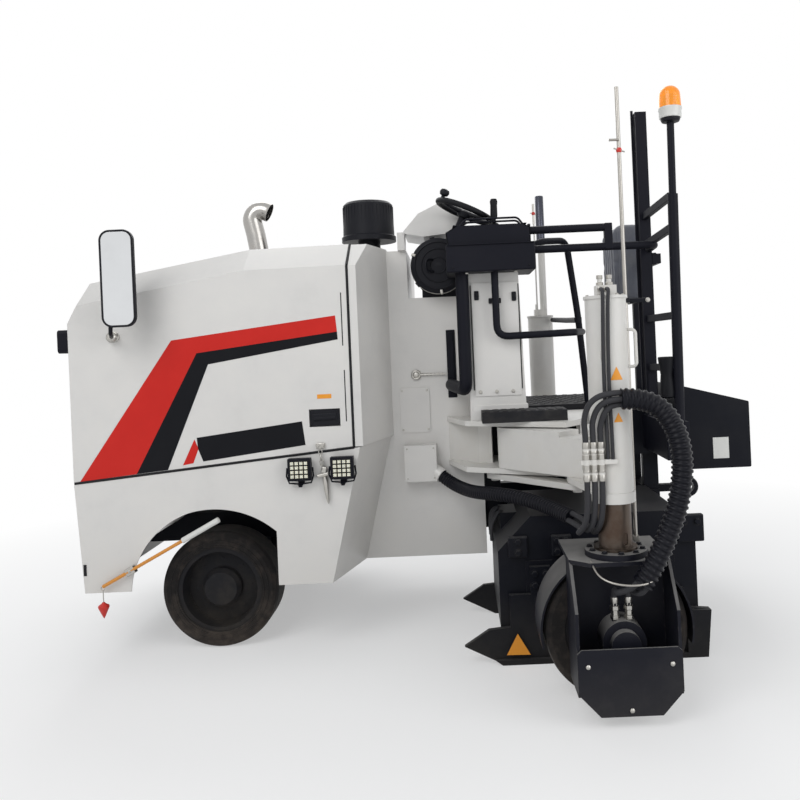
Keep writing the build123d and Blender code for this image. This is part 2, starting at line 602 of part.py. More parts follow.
with BuildPart() as guide_link:
    with BuildSketch(Plane.XY.offset(LINK_Z0)):
        with Locations(Location(((LINK_Q[0] + LINK_B[0]) / 2, (LINK_Q[1] + LINK_B[1]) / 2, 0), (0, 0, ARM_DEG))):
            SlotCenterToCenter(ARM_LEN, LINK_W)
        with Locations(LINK_Q, LINK_B):
            Circle(LINK_PIN_R + RUN, mode=Mode.SUBTRACT)
    extrude(amount=LINK_T)
write(guide_link, "guide_link")


def barrel(x, y):
    """The outer tube of a leg with its gland, cap and fittings, in the open part."""
    r = BARREL_BORE + BARREL_WALL
    with Locations((x, y, (BARREL_Z0 + BARREL_Z1) / 2)):
        Cylinder(r, BARREL_Z1 - BARREL_Z0)
    with Locations((x, y, BARREL_Z1 + 6)):
        Cylinder(r + 5, 12)
    with Locations((x, y, BARREL_Z0 + 20)):
        Cylinder(r + 5, 40)
    slab(x - 40, x + 35, y - 30, y + 30, BARREL_Z1 + 12, BARREL_Z1 + 52)
    for dx in (-18, 18):
        rod((x + dx, y, BARREL_Z1 + 52), (x + dx, y, BARREL_Z1 + 86), 9)


def barrel_bore(x, y):
    """What the column slides in: a wide bore above a close gland."""
    with Locations((x, y, (BARREL_Z0 + 60 + BARREL_Z1 - 20) / 2)):
        Cylinder(BARREL_BORE, BARREL_Z1 - 20 - BARREL_Z0 - 60, mode=Mode.SUBTRACT)
    with Locations((x, y, BARREL_Z0 + 30)):
        Cylinder(COLUMN_R + SEAT, 80, mode=Mode.SUBTRACT)


with BuildPart() as left_barrel:
    barrel(LEG_X, LEG_Y)
    plate([(LEG_X - 60, LEG_Y - 45), (ARM_A[0] - 60, ARM_A[1] - 20), (ARM_A[0] - 20, ARM_A[1] - 60),
           (LINK_B[0] - 10, LINK_B[1] - 42), (LINK_B[0] + 42, LINK_B[1] - 15),
           (LINK_B[0] + 42, LINK_B[1] + 30), (LEG_X + 60, LEG_Y - 45)], PLATE_LO, PLATE_LO + PLATE_T)
    plate([(LEG_X - 60, LEG_Y - 45), (ARM_A[0] - 60, ARM_A[1] - 20), (ARM_A[0] - 30, ARM_A[1] - 55),
           (ARM_A[0] + 30, ARM_A[1] - 55), (ARM_A[0] + 60, ARM_A[1] - 20), (LEG_X + 60, LEG_Y - 45)],
          PLATE_HI - PLATE_T, PLATE_HI)
    slab(LEG_X - 10, LEG_X + 10, ARM_A[1] + 80, LEG_Y - 60, PLATE_LO, PLATE_HI)
    with Locations((ARM_A[0], ARM_A[1], (PLATE_LO + PLATE_HI) / 2)):
        Cylinder(PIN_R, PLATE_HI - PLATE_LO)
    with Locations((LINK_B[0], LINK_B[1], PLATE_LO - 22)):
        Cylinder(LINK_PIN_R, 46)
    # coupling plate for the hoses with its couplers, and the hose clip higher up
    slab(-584, COUPLER_X[-1] + 22, COUPLER_Y - 6, COUPLER_Y + 6, 944, 962)
    slab(-538, -512, 1424, COUPLER_Y - 5, 936, 970)
    for x in COUPLER_X:
        rod((x, COUPLER_Y, COUPLER_Z0), (x, COUPLER_Y, COUPLER_Z1), 13)
    slab(-580, -540, 1440, 1457, 1330, 1362)
    # grab handle
    bent([(-650, 1400, 1300), (-680, 1425, 1300), (-680, 1425, 1440), (-650, 1400, 1440)], 6)
    barrel_bore(LEG_X, LEG_Y)
write(left_barrel, "left_barrel")

with BuildPart() as right_barrel:
    barrel(FIXED_X, FIXED_Y)
    for z in (PLATE_LO, PLATE_HI - PLATE_T):
        slab(FIXED_X - 120, FIXED_X + 120, FIXED_Y + 40, DECK_Y0, z, z + PLATE_T)
    slab(FIXED_X - 12, FIXED_X + 12, FIXED_Y + 40, DECK_Y0, PLATE_LO, PLATE_HI)
    # height indicator over the cap
    rod((FIXED_X + 20, FIXED_Y + 50, BARREL_Z1 + 10), (FIXED_X + 20, FIXED_Y + 50, 2180), 5)
    rod((FIXED_X - 30, FIXED_Y - 40, BARREL_Z1 + 10), (FIXED_X - 30, FIXED_Y - 40, 2270), 22)
    barrel_bore(FIXED_X, FIXED_Y)
write(right_barrel, "right_barrel")

with BuildPart() as column:
    with Locations((0, 0, (FLANGE_Z0 + COLUMN_TOP) / 2)):
        Cylinder(COLUMN_R, COLUMN_TOP - FLANGE_Z0)
    with Locations((0, 0, (FLANGE_Z0 + FLANGE_Z1) / 2)):
        Cylinder(FLANGE_R, FLANGE_Z1 - FLANGE_Z0)
    with Locations((0, 0, FLANGE_Z1 + 5)):
        Cylinder(COLUMN_R + 18, 10)
    # inspection slot low on the outside
    with BuildSketch(Plane.XZ.offset(-COLUMN_R - 10)):
        with Locations((-28, FLANGE_Z1 + 45)):
            SlotOverall(46, 18, rotation=90)
    extrude(amount=30, mode=Mode.SUBTRACT)
write(column, "column_left", Pos(LEG_X, LEG_Y, 0))
write(column, "column_right", Pos(FIXED_X, FIXED_Y, 0), flip=True)

with BuildPart() as yoke:
    # head plate under the flange, then the open box round the motor
    plate([(-YOKE_HALF, -245), (-YOKE_HALF, 60), (-120, 120), (120, 120), (YOKE_HALF, 60),
           (YOKE_HALF, -245)], FLANGE_Z0 - 16, FLANGE_Z0)
    for s in (-1, 1):
        panel([(s * YOKE_HALF, -30, 120), (s * YOKE_HALF, YOKE_OUT, 120), (s * YOKE_HALF, YOKE_OUT, 420),
               (s * YOKE_HALF, 60, FLANGE_Z0 - 8), (s * YOKE_HALF, -30, FLANGE_Z0 - 8)], -s * YOKE_WALL)
    slab(-YOKE_HALF + 1, YOKE_HALF - 1, -30, -12, 120, FLANGE_Z0 - 8)
    slab(-YOKE_HALF + 1, YOKE_HALF - 1, -12, YOKE_OUT, 120, 130)
    # hydraulic motor through the wall, its shaft in the rim
    rod((0, -12, TYRE_R), (0, 95, TYRE_R), 82)
    rod((0, 90, TYRE_R), (0, 130, TYRE_R), 55)
    for dx in (-26, 26):
        rod((dx, 60, TYRE_R + 60), (dx, 60, TYRE_R + 150), 12)
    rod((0, -30, TYRE_R), (0, -92, TYRE_R), 60)
    rod((0, -92, TYRE_R), (0, -WHEEL_IN - 10, TYRE_R), 45)
    # mudguard over the tyre
    with BuildSketch(side(-32)):
        with Locations((0, TYRE_R)):
            Circle(MUD_R + 8)
            Circle(MUD_R, mode=Mode.SUBTRACT)
        with Locations((0, TYRE_R - 250)):
            Rectangle(800, 380, mode=Mode.SUBTRACT)
    extrude(amount=213)
    # bolted motor cover
    with BuildSketch(side(YOKE_OUT + 8)) as cover:
        with BuildLine():
            h = YOKE_HALF
            Polyline((-h, 278), (-h + 16, 292), (h - 16, 292), (h, 278), (h, 132), (h - 78, 48),
                     (-h + 78, 48), (-h, 132), close=True)
        make_face()
    extrude(cover.sketch, amount=8)
write(yoke, "yoke_left", Pos(LEG_X, LEG_Y, 0))
write(yoke, "yoke_right", Pos(FIXED_X, FIXED_Y, 0), flip=True)

with BuildPart() as scale_rod:
    rod((LEG_X - 100, LEG_Y - 100, FLANGE_Z0), (LEG_X - 100, LEG_Y - 100, 2400), 8)
    slab(LEG_X - 112, LEG_X - 88, LEG_Y - 112, LEG_Y - 88, FLANGE_Z0, FLANGE_Z0 + 40)
    rod((LEG_X - 100, LEG_Y - 92, 2190), (LEG_X - 60, LEG_Y - 92, 2190), 5)
write(scale_rod, "scale_rod")

# ============================================================ milling unit
with BuildPart() as drum_housing:
    f, b, t = HOUSING_FRONT, HOUSING_BACK, HOUSING_TOP
    prism([(f, 140), (f, t - 150), (f - 150, t), (b + 60, t), (b, t - 70), (b, 200), (b + 60, 140)],
          WALL_Y0, WALL_Y1)
    w = WALL_T
    prism([(f - w, 100), (f - w, t - 157), (f - 157, t - w), (b + 66, t - w), (b + w, t - 77), (b + w, 100)],
          WALL_Y0 + w, WALL_Y1 - w, Mode.SUBTRACT)
    # bearing and motor stubs that carry the drum
    rod((DRUM_X, WALL_Y0 + w, DRUM_Z), (DRUM_X, DRUM_Y - CUT / 2 + 60, DRUM_Z), 90)
    rod((DRUM_X, DRUM_Y + CUT / 2 - 60, DRUM_Z), (DRUM_X, WALL_Y1 - w, DRUM_Z), 90)
    # feet on the chassis rail
    for x in (-170, -600, -980):
        slab(x - 40, x + 40, RAIL_Y + RAIL_W / 2, WALL_Y0, RAIL_Z0 + 30, RAIL_Z1 - 10)
    # bolted guide blocks for the side plates, and guides for the scraper
    for x in (-330, -870):
        for y, s in ((WALL_Y1, 1), (WALL_Y0, -1)):
            y0, y1 = sorted((y, y + s * (CLEAR - SEAT)))
            slab(x - 60, x + 60, y0, y1, 170, 440)
    # valve block and lines on the sloping front
    slab(f - 120, f - 30, 420, 620, t - 130, t - 40)
write(drum_housing, "drum_housing")

with BuildPart() as milling_drum:
    y0, y1 = DRUM_Y - CUT / 2, DRUM_Y + CUT / 2
    rod((DRUM_X, y0, DRUM_Z), (DRUM_X, y1, DRUM_Z), DRUM_R)
    # two helices of tool holders that meet in the middle and throw to it
    for s in (-1, 1):
        for k in range(TOOLS_PER_SIDE):
            y = DRUM_Y + s * (CUT / 2 - 12 - k * (CUT / 2 - 20) / TOOLS_PER_SIDE)
            a = k * TOOL_PITCH_DEG + (0 if s < 0 else 18)
            with Locations(Location((DRUM_X, y, DRUM_Z), (0, a, 0))):
                with Locations((DRUM_R + 20, 0, 0)):
                    Box(52, 34, 62)
                with Locations(Location((DRUM_R + 62, 0, 22), (0, 58, 0))):
                    Cone(15, 4, 62)
    for y, end in ((y0, -1), (y1, 1)):
        rod((DRUM_X, y + end, DRUM_Z), (DRUM_X, y - end * 70, DRUM_Z), 90 + RUN, Mode.SUBTRACT)
write(milling_drum, "milling_drum")

with BuildPart() as side_plate:
    prism([(14, 82), (-95, 150), (-190, 158), (-190, 300), (-960, 300), (-960, 215), (-1070, 205),
           (-1050, 0), (-150, 0)], 0, SKID_T)
    # guide lugs that stand above the plate
    for x in (-330, -870):
        slab(x - 45, x + 45, 0, SKID_T, 300, 420)
    # skid shoe along the bottom and the thick heel
    prism([(-120, 22), (-150, 0), (-1050, 0), (-1052, 22)], 0, SKID_T + 20)
    prism([(-962, 22), (-962, 208), (-1070, 205), (-1052, 22)], 0, SKID_T + 20)
write(side_plate, "side_plate_left", Pos(0, WALL_Y1 + CLEAR, 0))
write(side_plate, "side_plate_right", Pos(0, WALL_Y0 - CLEAR, 0), flip=True)

with BuildPart() as scraper:
    x1 = HOUSING_BACK - SEAT
    slab(x1 - 16, x1, 320, 870, 90, 560)
    slab(x1 - 30, x1 - 16, 320, 870, 90, 150)
    for y in (420, 595, 770):
        slab(x1 - 24, x1 - 16, y - 20, y + 20, 150, 560)
write(scraper, "scraper")

# ============================================================ lamps and small pieces
with BuildPart() as headlights:
    for s in (-1, 1):
        with Locations((NOSE_X + 36, s * 650, 1505)):
            Box(72, 110, 110)
    fillet(headlights.edges().filter_by(Axis.X), 18)
write(headlights, "headlights")

with BuildPart() as work_lights:
    for x in (540, 735):
        slab(x - 52, x + 52, HALF_W + 18, HALF_W + 58, 822, 922)
        slab(x - 14, x + 14, HALF_W, HALF_W + 20, 800, 830)
write(work_lights, "work_lights")

with BuildPart() as mirror:
    with BuildSketch(side(922)):
        with Locations((1475, 1768)):
            RectangleRounded(150, 430, 46)
    extrude(amount=32)
    bent([(1475, HALF_W, 1505), (1475, 905, 1505), (1475, 905, 1570)], 11)
    with Locations((1475, HALF_W + 12, 1505)):
        Sphere(26)
    slab(1400, 1550, 600, HALF_W, 1400, 1600, Mode.SUBTRACT)
write(mirror, "mirror_left")
write(mirror, "mirror_right", flip=True)

with BuildPart() as guide_pointer:
    rod((1120, 775, 655), (1290, 775, 566), 13)
    rod((1290, 775, 566), (1665, 775, 370), 8)
    rod((1665, 775, 384), (1665, 775, 300), 3)
    with Locations((1665, 775, 262)):
        Cone(5, 24, 76)
    slab(1515, 1560, HALF_W, 783, 418, 452)
write(guide_pointer, "guide_pointer")

# ============================================================ hoses
with BuildPart() as hose_lower:
    out = (Vector(*SPIGOT_OUT) - Vector(*SPIGOT_IN)).normalized()
    lower = [Vector(*SPIGOT_OUT), Vector(*SPIGOT_OUT) + out * 62, (-12, 520, 700), (-66, 640, 704),
             (-148, 758, 716), (-240, 862, 720), (-330, 958, 708), (-402, 1062, 692), LEG_HOSE_END]
    print("hose_lower", [round(v) for v in bent(lower, 32)])
write(hose_lower, "hose_lower")

with BuildPart() as hose_trio:
    along = (Vector(*LEG_HOSE_END) - Vector(-402, 1062, 692)).normalized()
    across = along.cross(Vector(0, 0, 1)).normalized()
    rise = across.cross(along)
    # out of the lower sleeve and up to the couplers
    for x, a, b in zip(COUPLER_X, (-18, 0, 18), (-9, 18, -9)):
        start = Vector(*LEG_HOSE_END) + across * a + rise * b
        path = [start, start + along * 110, (x + 28 + a * 0.3, 1375, 668 + b * 0.3), (x + 10, 1446, 712),
                (x, COUPLER_Y, 795), (x, COUPLER_Y, COUPLER_Z0)]
        print("hose_trio", [round(v) for v in bent(path, 11)])
    # from the couplers over into the upper sleeve
    for x, p1, p2, p3, dy, dz in (
        (COUPLER_X[0], (-523, 1470, 1085), (-539, 1490, 1140), (-566, 1490, 1163), -6, -20),
        (COUPLER_X[1], (-494, 1470, 1100), (-512, 1486, 1155), (-550, 1500, 1182), 8, 0),
        (COUPLER_X[2], (-464, 1470, 1115), (-482, 1488, 1175), (-535, 1502, 1206), 2, 23),
    ):
        end = Vector(*SLEEVE_TOP) + Vector(0, dy, dz)
        p3 = (p3[0], end.Y, end.Z)
        path = [(x, COUPLER_Y, COUPLER_Z1), (x, COUPLER_Y, COUPLER_Z1 + 35), p1, p2, p3, end]
        print("hose_trio", [round(v) for v in bent(path, 11)])
write(hose_trio, "hose_trio")

with BuildPart() as hose_lines:
    # two thin lines beside the barrel, up to its head
    for x, y, end_x in ((-549, 1466, -556), (-567, 1470, -578)):
        path = [(x, y, 962), (x, y, 1060), (x + 3, y + 1, 1180), (x + 2, y + 1, 1345), (x - 2, y + 2, 1470),
                (x - 4, y + 9, 1555), (end_x + 2, y + 5, 1590), (end_x, y - 24, 1597), (end_x, 1410, 1597)]
        print("hose_lines", [round(v) for v in bent(path, 7)])
write(hose_lines, "hose_lines")

with BuildPart() as hose_upper:
    upper = [SLEEVE_TOP, (-668, SLEEVE_TOP[1], SLEEVE_TOP[2]), (-750, 1506, 1146), (-802, 1512, 1050), (-812, 1520, 930),
             (-786, 1532, 800), (-738, 1546, 690), (-684, 1554, 590), SLEEVE_END]
    print("hose_upper", [round(v) for v in bent(upper, 40)])
write(hose_upper, "hose_upper")

with BuildPart() as hose_motor:
    along = (Vector(*SLEEVE_END) - Vector(-684, 1554, 590)).normalized()
    for dx, a in ((-26, -16), (26, 16)):
        start = Vector(*SLEEVE_END) + Vector(a, 0, -a * along.X / along.Z)
        port = Vector(LEG_X + dx, LEG_Y + 60, TYRE_R + 150)
        path = [start, start + along * 30, (LEG_X + dx + a * 0.7, 1515, 477), (LEG_X + dx, LEG_Y + 78, 478),
                port + Vector(0, 0, 28), port]
        print("hose_motor", [round(v) for v in bent(path, 11)])
write(hose_motor, "hose_motor")
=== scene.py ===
"""Looks of a compact four-wheeled cold planer: finishes, hoses, lamps, pad and small fittings.

Shapes are written in millimetres of the machine's own frame: X forward to the
engine end, Y to the machine's left, Z up. `row` moves them into the shared frame.
"""

import logging
import math
from dataclasses import dataclass, field
from enum import Enum
from typing import Any, Iterable, Sequence

import bmesh
import bpy
from mathutils import Matrix, Vector, noise


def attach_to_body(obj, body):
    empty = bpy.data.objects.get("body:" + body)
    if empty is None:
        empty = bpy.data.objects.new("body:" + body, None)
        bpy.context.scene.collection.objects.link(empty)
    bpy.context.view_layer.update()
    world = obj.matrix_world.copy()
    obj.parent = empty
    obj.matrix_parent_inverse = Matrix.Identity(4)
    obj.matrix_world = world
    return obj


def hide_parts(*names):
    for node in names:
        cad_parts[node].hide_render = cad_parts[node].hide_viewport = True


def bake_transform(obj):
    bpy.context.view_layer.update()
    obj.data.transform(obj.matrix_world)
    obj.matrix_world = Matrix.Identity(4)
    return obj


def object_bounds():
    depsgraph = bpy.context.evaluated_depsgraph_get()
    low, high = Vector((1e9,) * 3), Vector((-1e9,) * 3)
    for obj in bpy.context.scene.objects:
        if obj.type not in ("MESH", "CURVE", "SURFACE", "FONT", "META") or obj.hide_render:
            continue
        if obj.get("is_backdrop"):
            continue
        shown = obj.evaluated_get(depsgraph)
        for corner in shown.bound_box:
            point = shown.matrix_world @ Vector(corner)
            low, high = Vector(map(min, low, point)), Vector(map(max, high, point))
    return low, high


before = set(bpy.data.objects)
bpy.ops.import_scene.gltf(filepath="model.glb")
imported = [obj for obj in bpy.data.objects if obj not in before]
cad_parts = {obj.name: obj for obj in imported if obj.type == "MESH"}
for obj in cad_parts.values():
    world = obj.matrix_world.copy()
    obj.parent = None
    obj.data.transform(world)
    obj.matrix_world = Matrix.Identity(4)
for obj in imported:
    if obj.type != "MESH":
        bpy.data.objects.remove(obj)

LOG = logging.getLogger("cold_planer")
SHIFT = Vector((-212.0, -321.5, 0.0))  # machine frame to the shared frame, mm
MM = 0.001

SIDES = ((1, "left"), (-1, "right"))  # sign along Y and the word for each side
LEG = (-580.0, 1380.0)  # X and Y of the swinging leg's axis
FIXED_LEG = (-550.0, -620.0)  # X and Y of the right leg's axis
FLANGE_TOP = 610.0  # top of the flange that bolts a yoke to its column
UP = (0, 0, 1)

Point = Sequence[float]
Socket = bpy.types.NodeSocket
Tree = bpy.types.NodeTree


# ---------------------------------------------------------------- helpers
def row(point: Point) -> Vector:
    """Move a point from the machine's frame in mm to the shared frame in metres.

    Args:
        point: X, Y and Z in millimetres.

    Returns:
        The same point in metres.
    """
    return (Vector(point) + SHIFT) * MM


def linear(hex_colour: str) -> tuple[float, float, float, float]:
    """Turn an sRGB hex value into linear RGBA.

    Args:
        hex_colour: Six hex digits, such as "C22A22".

    Returns:
        Red, green, blue and alpha, linear.
    """
    parts = [int(hex_colour[i : i + 2], 16) / 255 for i in (0, 2, 4)]
    return (*((c / 12.92 if c <= 0.04045 else ((c + 0.055) / 1.055) ** 2.4) for c in parts), 1.0)


def add_node(
    tree: Tree,
    kind: str,
    values: dict[Any, Any] | None = None,
    links: dict[Any, Any] | None = None,
    **settings: Any,
) -> bpy.types.Node:
    """Add a node with its settings, socket values and incoming links.

    Args:
        tree: The material's or world's node tree.
        kind: Blender's node type.
        values: Input socket to constant.
        links: Input socket to the output socket that feeds it.
        **settings: Properties of the node itself.

    Returns:
        The new node.
    """
    node = tree.nodes.new(kind)
    for name, value in settings.items():
        setattr(node, name, value)
    for key, value in (values or {}).items():
        node.inputs[key].default_value = value
    for key, socket in (links or {}).items():
        tree.links.new(socket, node.inputs[key])
    return node


def remap(tree: Tree, value: Socket, source: tuple[float, float], target: tuple[float, float]) -> Socket:
    """Map a value from one range to another, clamped.

    Args:
        tree: The node tree.
        value: The socket to map.
        source: Range that the value comes in.
        target: Range that it leaves in.

    Returns:
        The mapped socket.
    """
    limits = {"From Min": source[0], "From Max": source[1], "To Min": target[0], "To Max": target[1]}
    return add_node(tree, "ShaderNodeMapRange", limits, {"Value": value}).outputs[0]


def combine(tree: Tree, operation: str, a: Socket, b: Socket, clamp: bool = False) -> Socket:
    """Join two values with a maths operation.

    Args:
        tree: The node tree.
        operation: Blender's name of the operation.
        a: First value.
        b: Second value.
        clamp: Whether the result stays between 0 and 1.

    Returns:
        The result's socket.
    """
    return add_node(
        tree, "ShaderNodeMath", links={0: a, 1: b}, operation=operation, use_clamp=clamp,
    ).outputs[0]


def cover(tree: Tree, under: Socket, amount: Socket, hex_colour: str) -> Socket:
    """Lay a colour over another.

    Args:
        tree: The node tree.
        under: The colour below.
        amount: How much of the new colour shows.
        hex_colour: sRGB hex of the new colour.

    Returns:
        The mixed colour's socket.
    """
    return add_node(
        tree, "ShaderNodeMix", {7: linear(hex_colour)}, {0: amount, 6: under}, data_type="RGBA",
    ).outputs[2]


def tinted(tree: Tree, hex_colour: str, shade: Socket) -> Socket:
    """Multiply a colour by a shade.

    Args:
        tree: The node tree.
        hex_colour: sRGB hex of the colour.
        shade: The factor's socket.

    Returns:
        The shaded colour's socket.
    """
    values = {0: 1.0, 6: linear(hex_colour)}
    return add_node(
        tree, "ShaderNodeMix", values, {7: shade}, data_type="RGBA", blend_type="MULTIPLY",
    ).outputs[2]


def noise_node(tree: Tree, place: Socket, scale: float, detail: float, **values: float) -> Socket:
    """Add a cloud of noise.

    Args:
        tree: The node tree.
        place: Coordinates, in metres.
        scale: Its frequency.
        detail: How many finer layers it has.
        **values: Other inputs by name.

    Returns:
        The factor's socket.
    """
    inputs = {"Scale": scale, "Detail": detail, **values}
    return add_node(tree, "ShaderNodeTexNoise", inputs, {"Vector": place}).outputs["Fac"]


def new_material(name: str, constants: dict[str, Any]) -> tuple[bpy.types.Material, bpy.types.Node]:
    """Start a node material.

    Args:
        name: Its name.
        constants: Constants of its shader's sockets.

    Returns:
        The material and its shader.
    """
    material = bpy.data.materials.new(name)
    material.use_nodes = True
    shader = material.node_tree.nodes["Principled BSDF"]
    for socket, value in constants.items():
        shader.inputs[socket].default_value = value
    return material, shader


def show(name: str, data: bpy.types.ID) -> bpy.types.Object:
    """Make an object and put it in the scene.

    Args:
        name: Its name.
        data: Its mesh, lamp or camera.

    Returns:
        The object.
    """
    obj = bpy.data.objects.new(name, data)
    bpy.context.scene.collection.objects.link(obj)
    return obj


def turns(count: int, start: float = 0.0) -> list[float]:
    """Evenly spaced angles round a circle.

    Args:
        count: How many.
        start: Where the first lies, as a share of one step.

    Returns:
        The angles in radians.
    """
    return [math.tau * (k + start) / count for k in range(count)]


def ring(centre: Point, radius: float, count: int) -> list[Vector]:
    """Points of an upright circle that faces sideways.

    Args:
        centre: Its middle.
        radius: Its radius.
        count: How many points.

    Returns:
        The points in order.
    """
    x, y, z = centre
    return [Vector((x + radius * math.cos(a), y, z + radius * math.sin(a))) for a in turns(count)]


# ---------------------------------------------------------------- finishes
class Grain(Enum):
    """What a finish's fine relief looks like."""

    ORANGE_PEEL = "orange peel of sprayed paint"
    MOULDED = "spark-eroded mould texture"
    DRAWN = "long scratches along the axis"
    CAST = "sand-cast skin"
    WOVEN = "leathercloth grain"
    SMOOTH = "no relief"


DUST = "A7A5A2"  # pale stone dust that settles on flat tops


@dataclass(frozen=True)
class Finish:
    """One surface finish, built as a node material.

    Attributes:
        name: Plain name of the real finish.
        colour: sRGB hex of the clean surface.
        roughness: Middle roughness.
        grain: Kind of fine relief.
        grain_mm: Size of that relief.
        relief_mm: Its depth.
        metallic: 1 for bare metal.
        ior: Index of refraction, left alone on metals.
        coat: Clear coat weight.
        dirt: sRGB hex of dust and oil film.
        dirt_share: How much of it lies on the surface.
        dirt_mm: Size of its patches.
        low_dust: Extra dust below this height in mm, 0 for none.
        edge_mm: Radius that the light sees on sharp edges.
        wear: sRGB hex under rubbed edges, or empty.
        sheen: Sheen weight for cloth and rubber.
        specular: Strength of the gloss, 0.5 for a clean dielectric.
        lying: Share of pale dust on faces that look up.
    """

    name: str
    colour: str
    roughness: float
    grain: Grain = Grain.SMOOTH
    grain_mm: float = 2.0
    relief_mm: float = 0.02
    metallic: float = 0.0
    ior: float = 1.5
    coat: float = 0.0
    dirt: str = "8C8577"
    dirt_share: float = 0.0
    dirt_mm: float = 220.0
    low_dust: float = 0.0
    edge_mm: float = 1.5
    wear: str = ""
    sheen: float = 0.0
    specular: float = 0.5
    lying: float = 0.0

    def material(self) -> bpy.types.Material:
        """Return the node material, built on first use."""
        known = bpy.data.materials.get(self.name)
        if known:
            return known
        constants = {
            "Metallic": self.metallic,
            "Coat Weight": self.coat,
            "Coat Roughness": 0.12,
            "Sheen Weight": self.sheen,
        }
        if not self.metallic:
            constants["IOR"] = self.ior
            constants["Specular IOR Level"] = self.specular
        material, shader = new_material(self.name, constants)
        tree = material.node_tree
        place = add_node(tree, "ShaderNodeTexCoord").outputs["Object"]
        colour, rough = self._colour(tree, place)
        tree.links.new(colour, shader.inputs["Base Color"])
        tree.links.new(rough, shader.inputs["Roughness"])
        tree.links.new(self._normal(tree, place), shader.inputs["Normal"])
        material.diffuse_color = linear(self.colour)
        return material

    def _colour(self, tree: Tree, place: Socket) -> tuple[Any, Any]:
        """Wire the colour and roughness: slight fading, dirt film, dust and rubbed edges.

        Args:
            tree: The material's tree.
            place: Object coordinates, in metres.

        Returns:
            The colour socket and the roughness socket.
        """
        patches = noise_node(tree, place, 1000 / self.dirt_mm, 7.0, Roughness=0.62)
        base = tinted(tree, self.colour, remap(tree, patches, (0.3, 0.7), (0.93, 1.06)))
        amount = remap(tree, patches, (0.45, 0.8), (0.0, self.dirt_share))
        if self.low_dust:
            height = add_node(tree, "ShaderNodeSeparateXYZ", links={0: place}).outputs["Z"]
            rise = remap(tree, height, (0.0, self.low_dust * MM), (0.55, 0.0))
            amount = combine(tree, "ADD", amount, combine(tree, "MULTIPLY", rise, patches), clamp=True)
        colour = cover(tree, base, amount, self.dirt)
        rough = remap(tree, amount, (0.0, 1.0), (self.roughness, min(1.0, self.roughness + 0.45)))
        if self.wear:
            colour = self._rubbed(tree, place, colour)
        if self.lying:
            colour = self._settled(tree, patches, colour)
        return colour, rough

    def _settled(self, tree: Tree, patches: Socket, colour: Any) -> Any:
        """Lay pale dust on what looks up.

        Args:
            tree: The material's tree.
            patches: The cloud that the dirt follows.
            colour: The colour so far.

        Returns:
            The mixed colour socket.
        """
        normal = add_node(tree, "ShaderNodeNewGeometry").outputs["Normal"]
        facing = add_node(tree, "ShaderNodeSeparateXYZ", links={0: normal}).outputs["Z"]
        flat = remap(tree, facing, (0.1, 0.9), (0.0, self.lying))
        thick = remap(tree, patches, (0.3, 0.7), (0.6, 1.1))
        return cover(tree, colour, combine(tree, "MULTIPLY", flat, thick, clamp=True), DUST)

    def _rubbed(self, tree: Tree, place: Socket, colour: Any) -> Any:
        """Mix in what shows on rubbed edges.

        Args:
            tree: The material's tree.
            place: Object coordinates, in metres.
            colour: The colour so far.

        Returns:
            The mixed colour socket.
        """
        round_edge = add_node(tree, "ShaderNodeBevel", {"Radius": 0.004}, samples=4).outputs[0]
        flat = add_node(tree, "ShaderNodeNewGeometry").outputs["Normal"]
        ends = {0: round_edge, 1: flat}
        alike = add_node(tree, "ShaderNodeVectorMath", links=ends, operation="DOT_PRODUCT").outputs["Value"]
        edge = remap(tree, alike, (0.985, 0.9), (0.0, 1.0))
        chips = remap(tree, noise_node(tree, place, 1000 / 30, 5.0), (0.52, 0.66), (0.0, 0.6))
        return cover(tree, colour, combine(tree, "MULTIPLY", edge, chips, clamp=True), self.wear)

    def _normal(self, tree: Tree, place: Socket) -> Any:
        """Wire the rounded edges and the fine relief.

        Args:
            tree: The material's tree.
            place: Object coordinates, in metres.

        Returns:
            The normal socket.
        """
        edge = add_node(tree, "ShaderNodeBevel", {"Radius": self.edge_mm * MM}, samples=4).outputs[0]
        if self.grain is Grain.SMOOTH:
            return edge
        scale = 1000 / self.grain_mm
        if self.grain is Grain.DRAWN:
            place = add_node(
                tree, "ShaderNodeMapping", {"Scale": (1.0, 1.0, 0.04)}, {"Vector": place},
            ).outputs[0]
        if self.grain is Grain.WOVEN:
            relief = add_node(
                tree, "ShaderNodeTexVoronoi", {"Scale": scale}, {"Vector": place},
            ).outputs["Distance"]
        else:
            detail = {
                Grain.ORANGE_PEEL: 1.0, Grain.MOULDED: 3.0, Grain.DRAWN: 2.0, Grain.CAST: 6.0,
            }[self.grain]
            relief = noise_node(tree, place, scale, detail)
        return add_node(
            tree, "ShaderNodeBump", {
                "Strength": 0.6, "Distance": self.relief_mm * MM,
            }, {"Height": relief, "Normal": edge}
        ).outputs[0]


# Two-pack enamel on sheet steel: a warm white with a soft gloss and faint road dust low down.
WHITE_ENAMEL = Finish(
    "white_enamel", "DBD9D6", 0.3, Grain.ORANGE_PEEL, 3.0, 0.02, coat=0.15, dirt="B9B4A8", dirt_share=0.16,
    low_dust=700,
)
# The same enamel on the leg and bracket, handled more, so a little greyer.
WHITE_ENAMEL_WORN = Finish(
    "white_enamel_handled", "D8D6D2", 0.36, Grain.ORANGE_PEEL, 3.0, 0.03, dirt="A39C8E", dirt_share=0.3,
    dirt_mm=150, wear="6A655E",
)
# Structure paint on plate: near black with a blue cast and a dull gloss.
BLACK_ENAMEL = Finish(
    "black_structure_paint", "10121A", 0.46, Grain.ORANGE_PEEL, 2.5, 0.04, dirt="4A4741", dirt_share=0.1,
    low_dust=300, wear="4A4743", specular=0.12, lying=0.1,
)
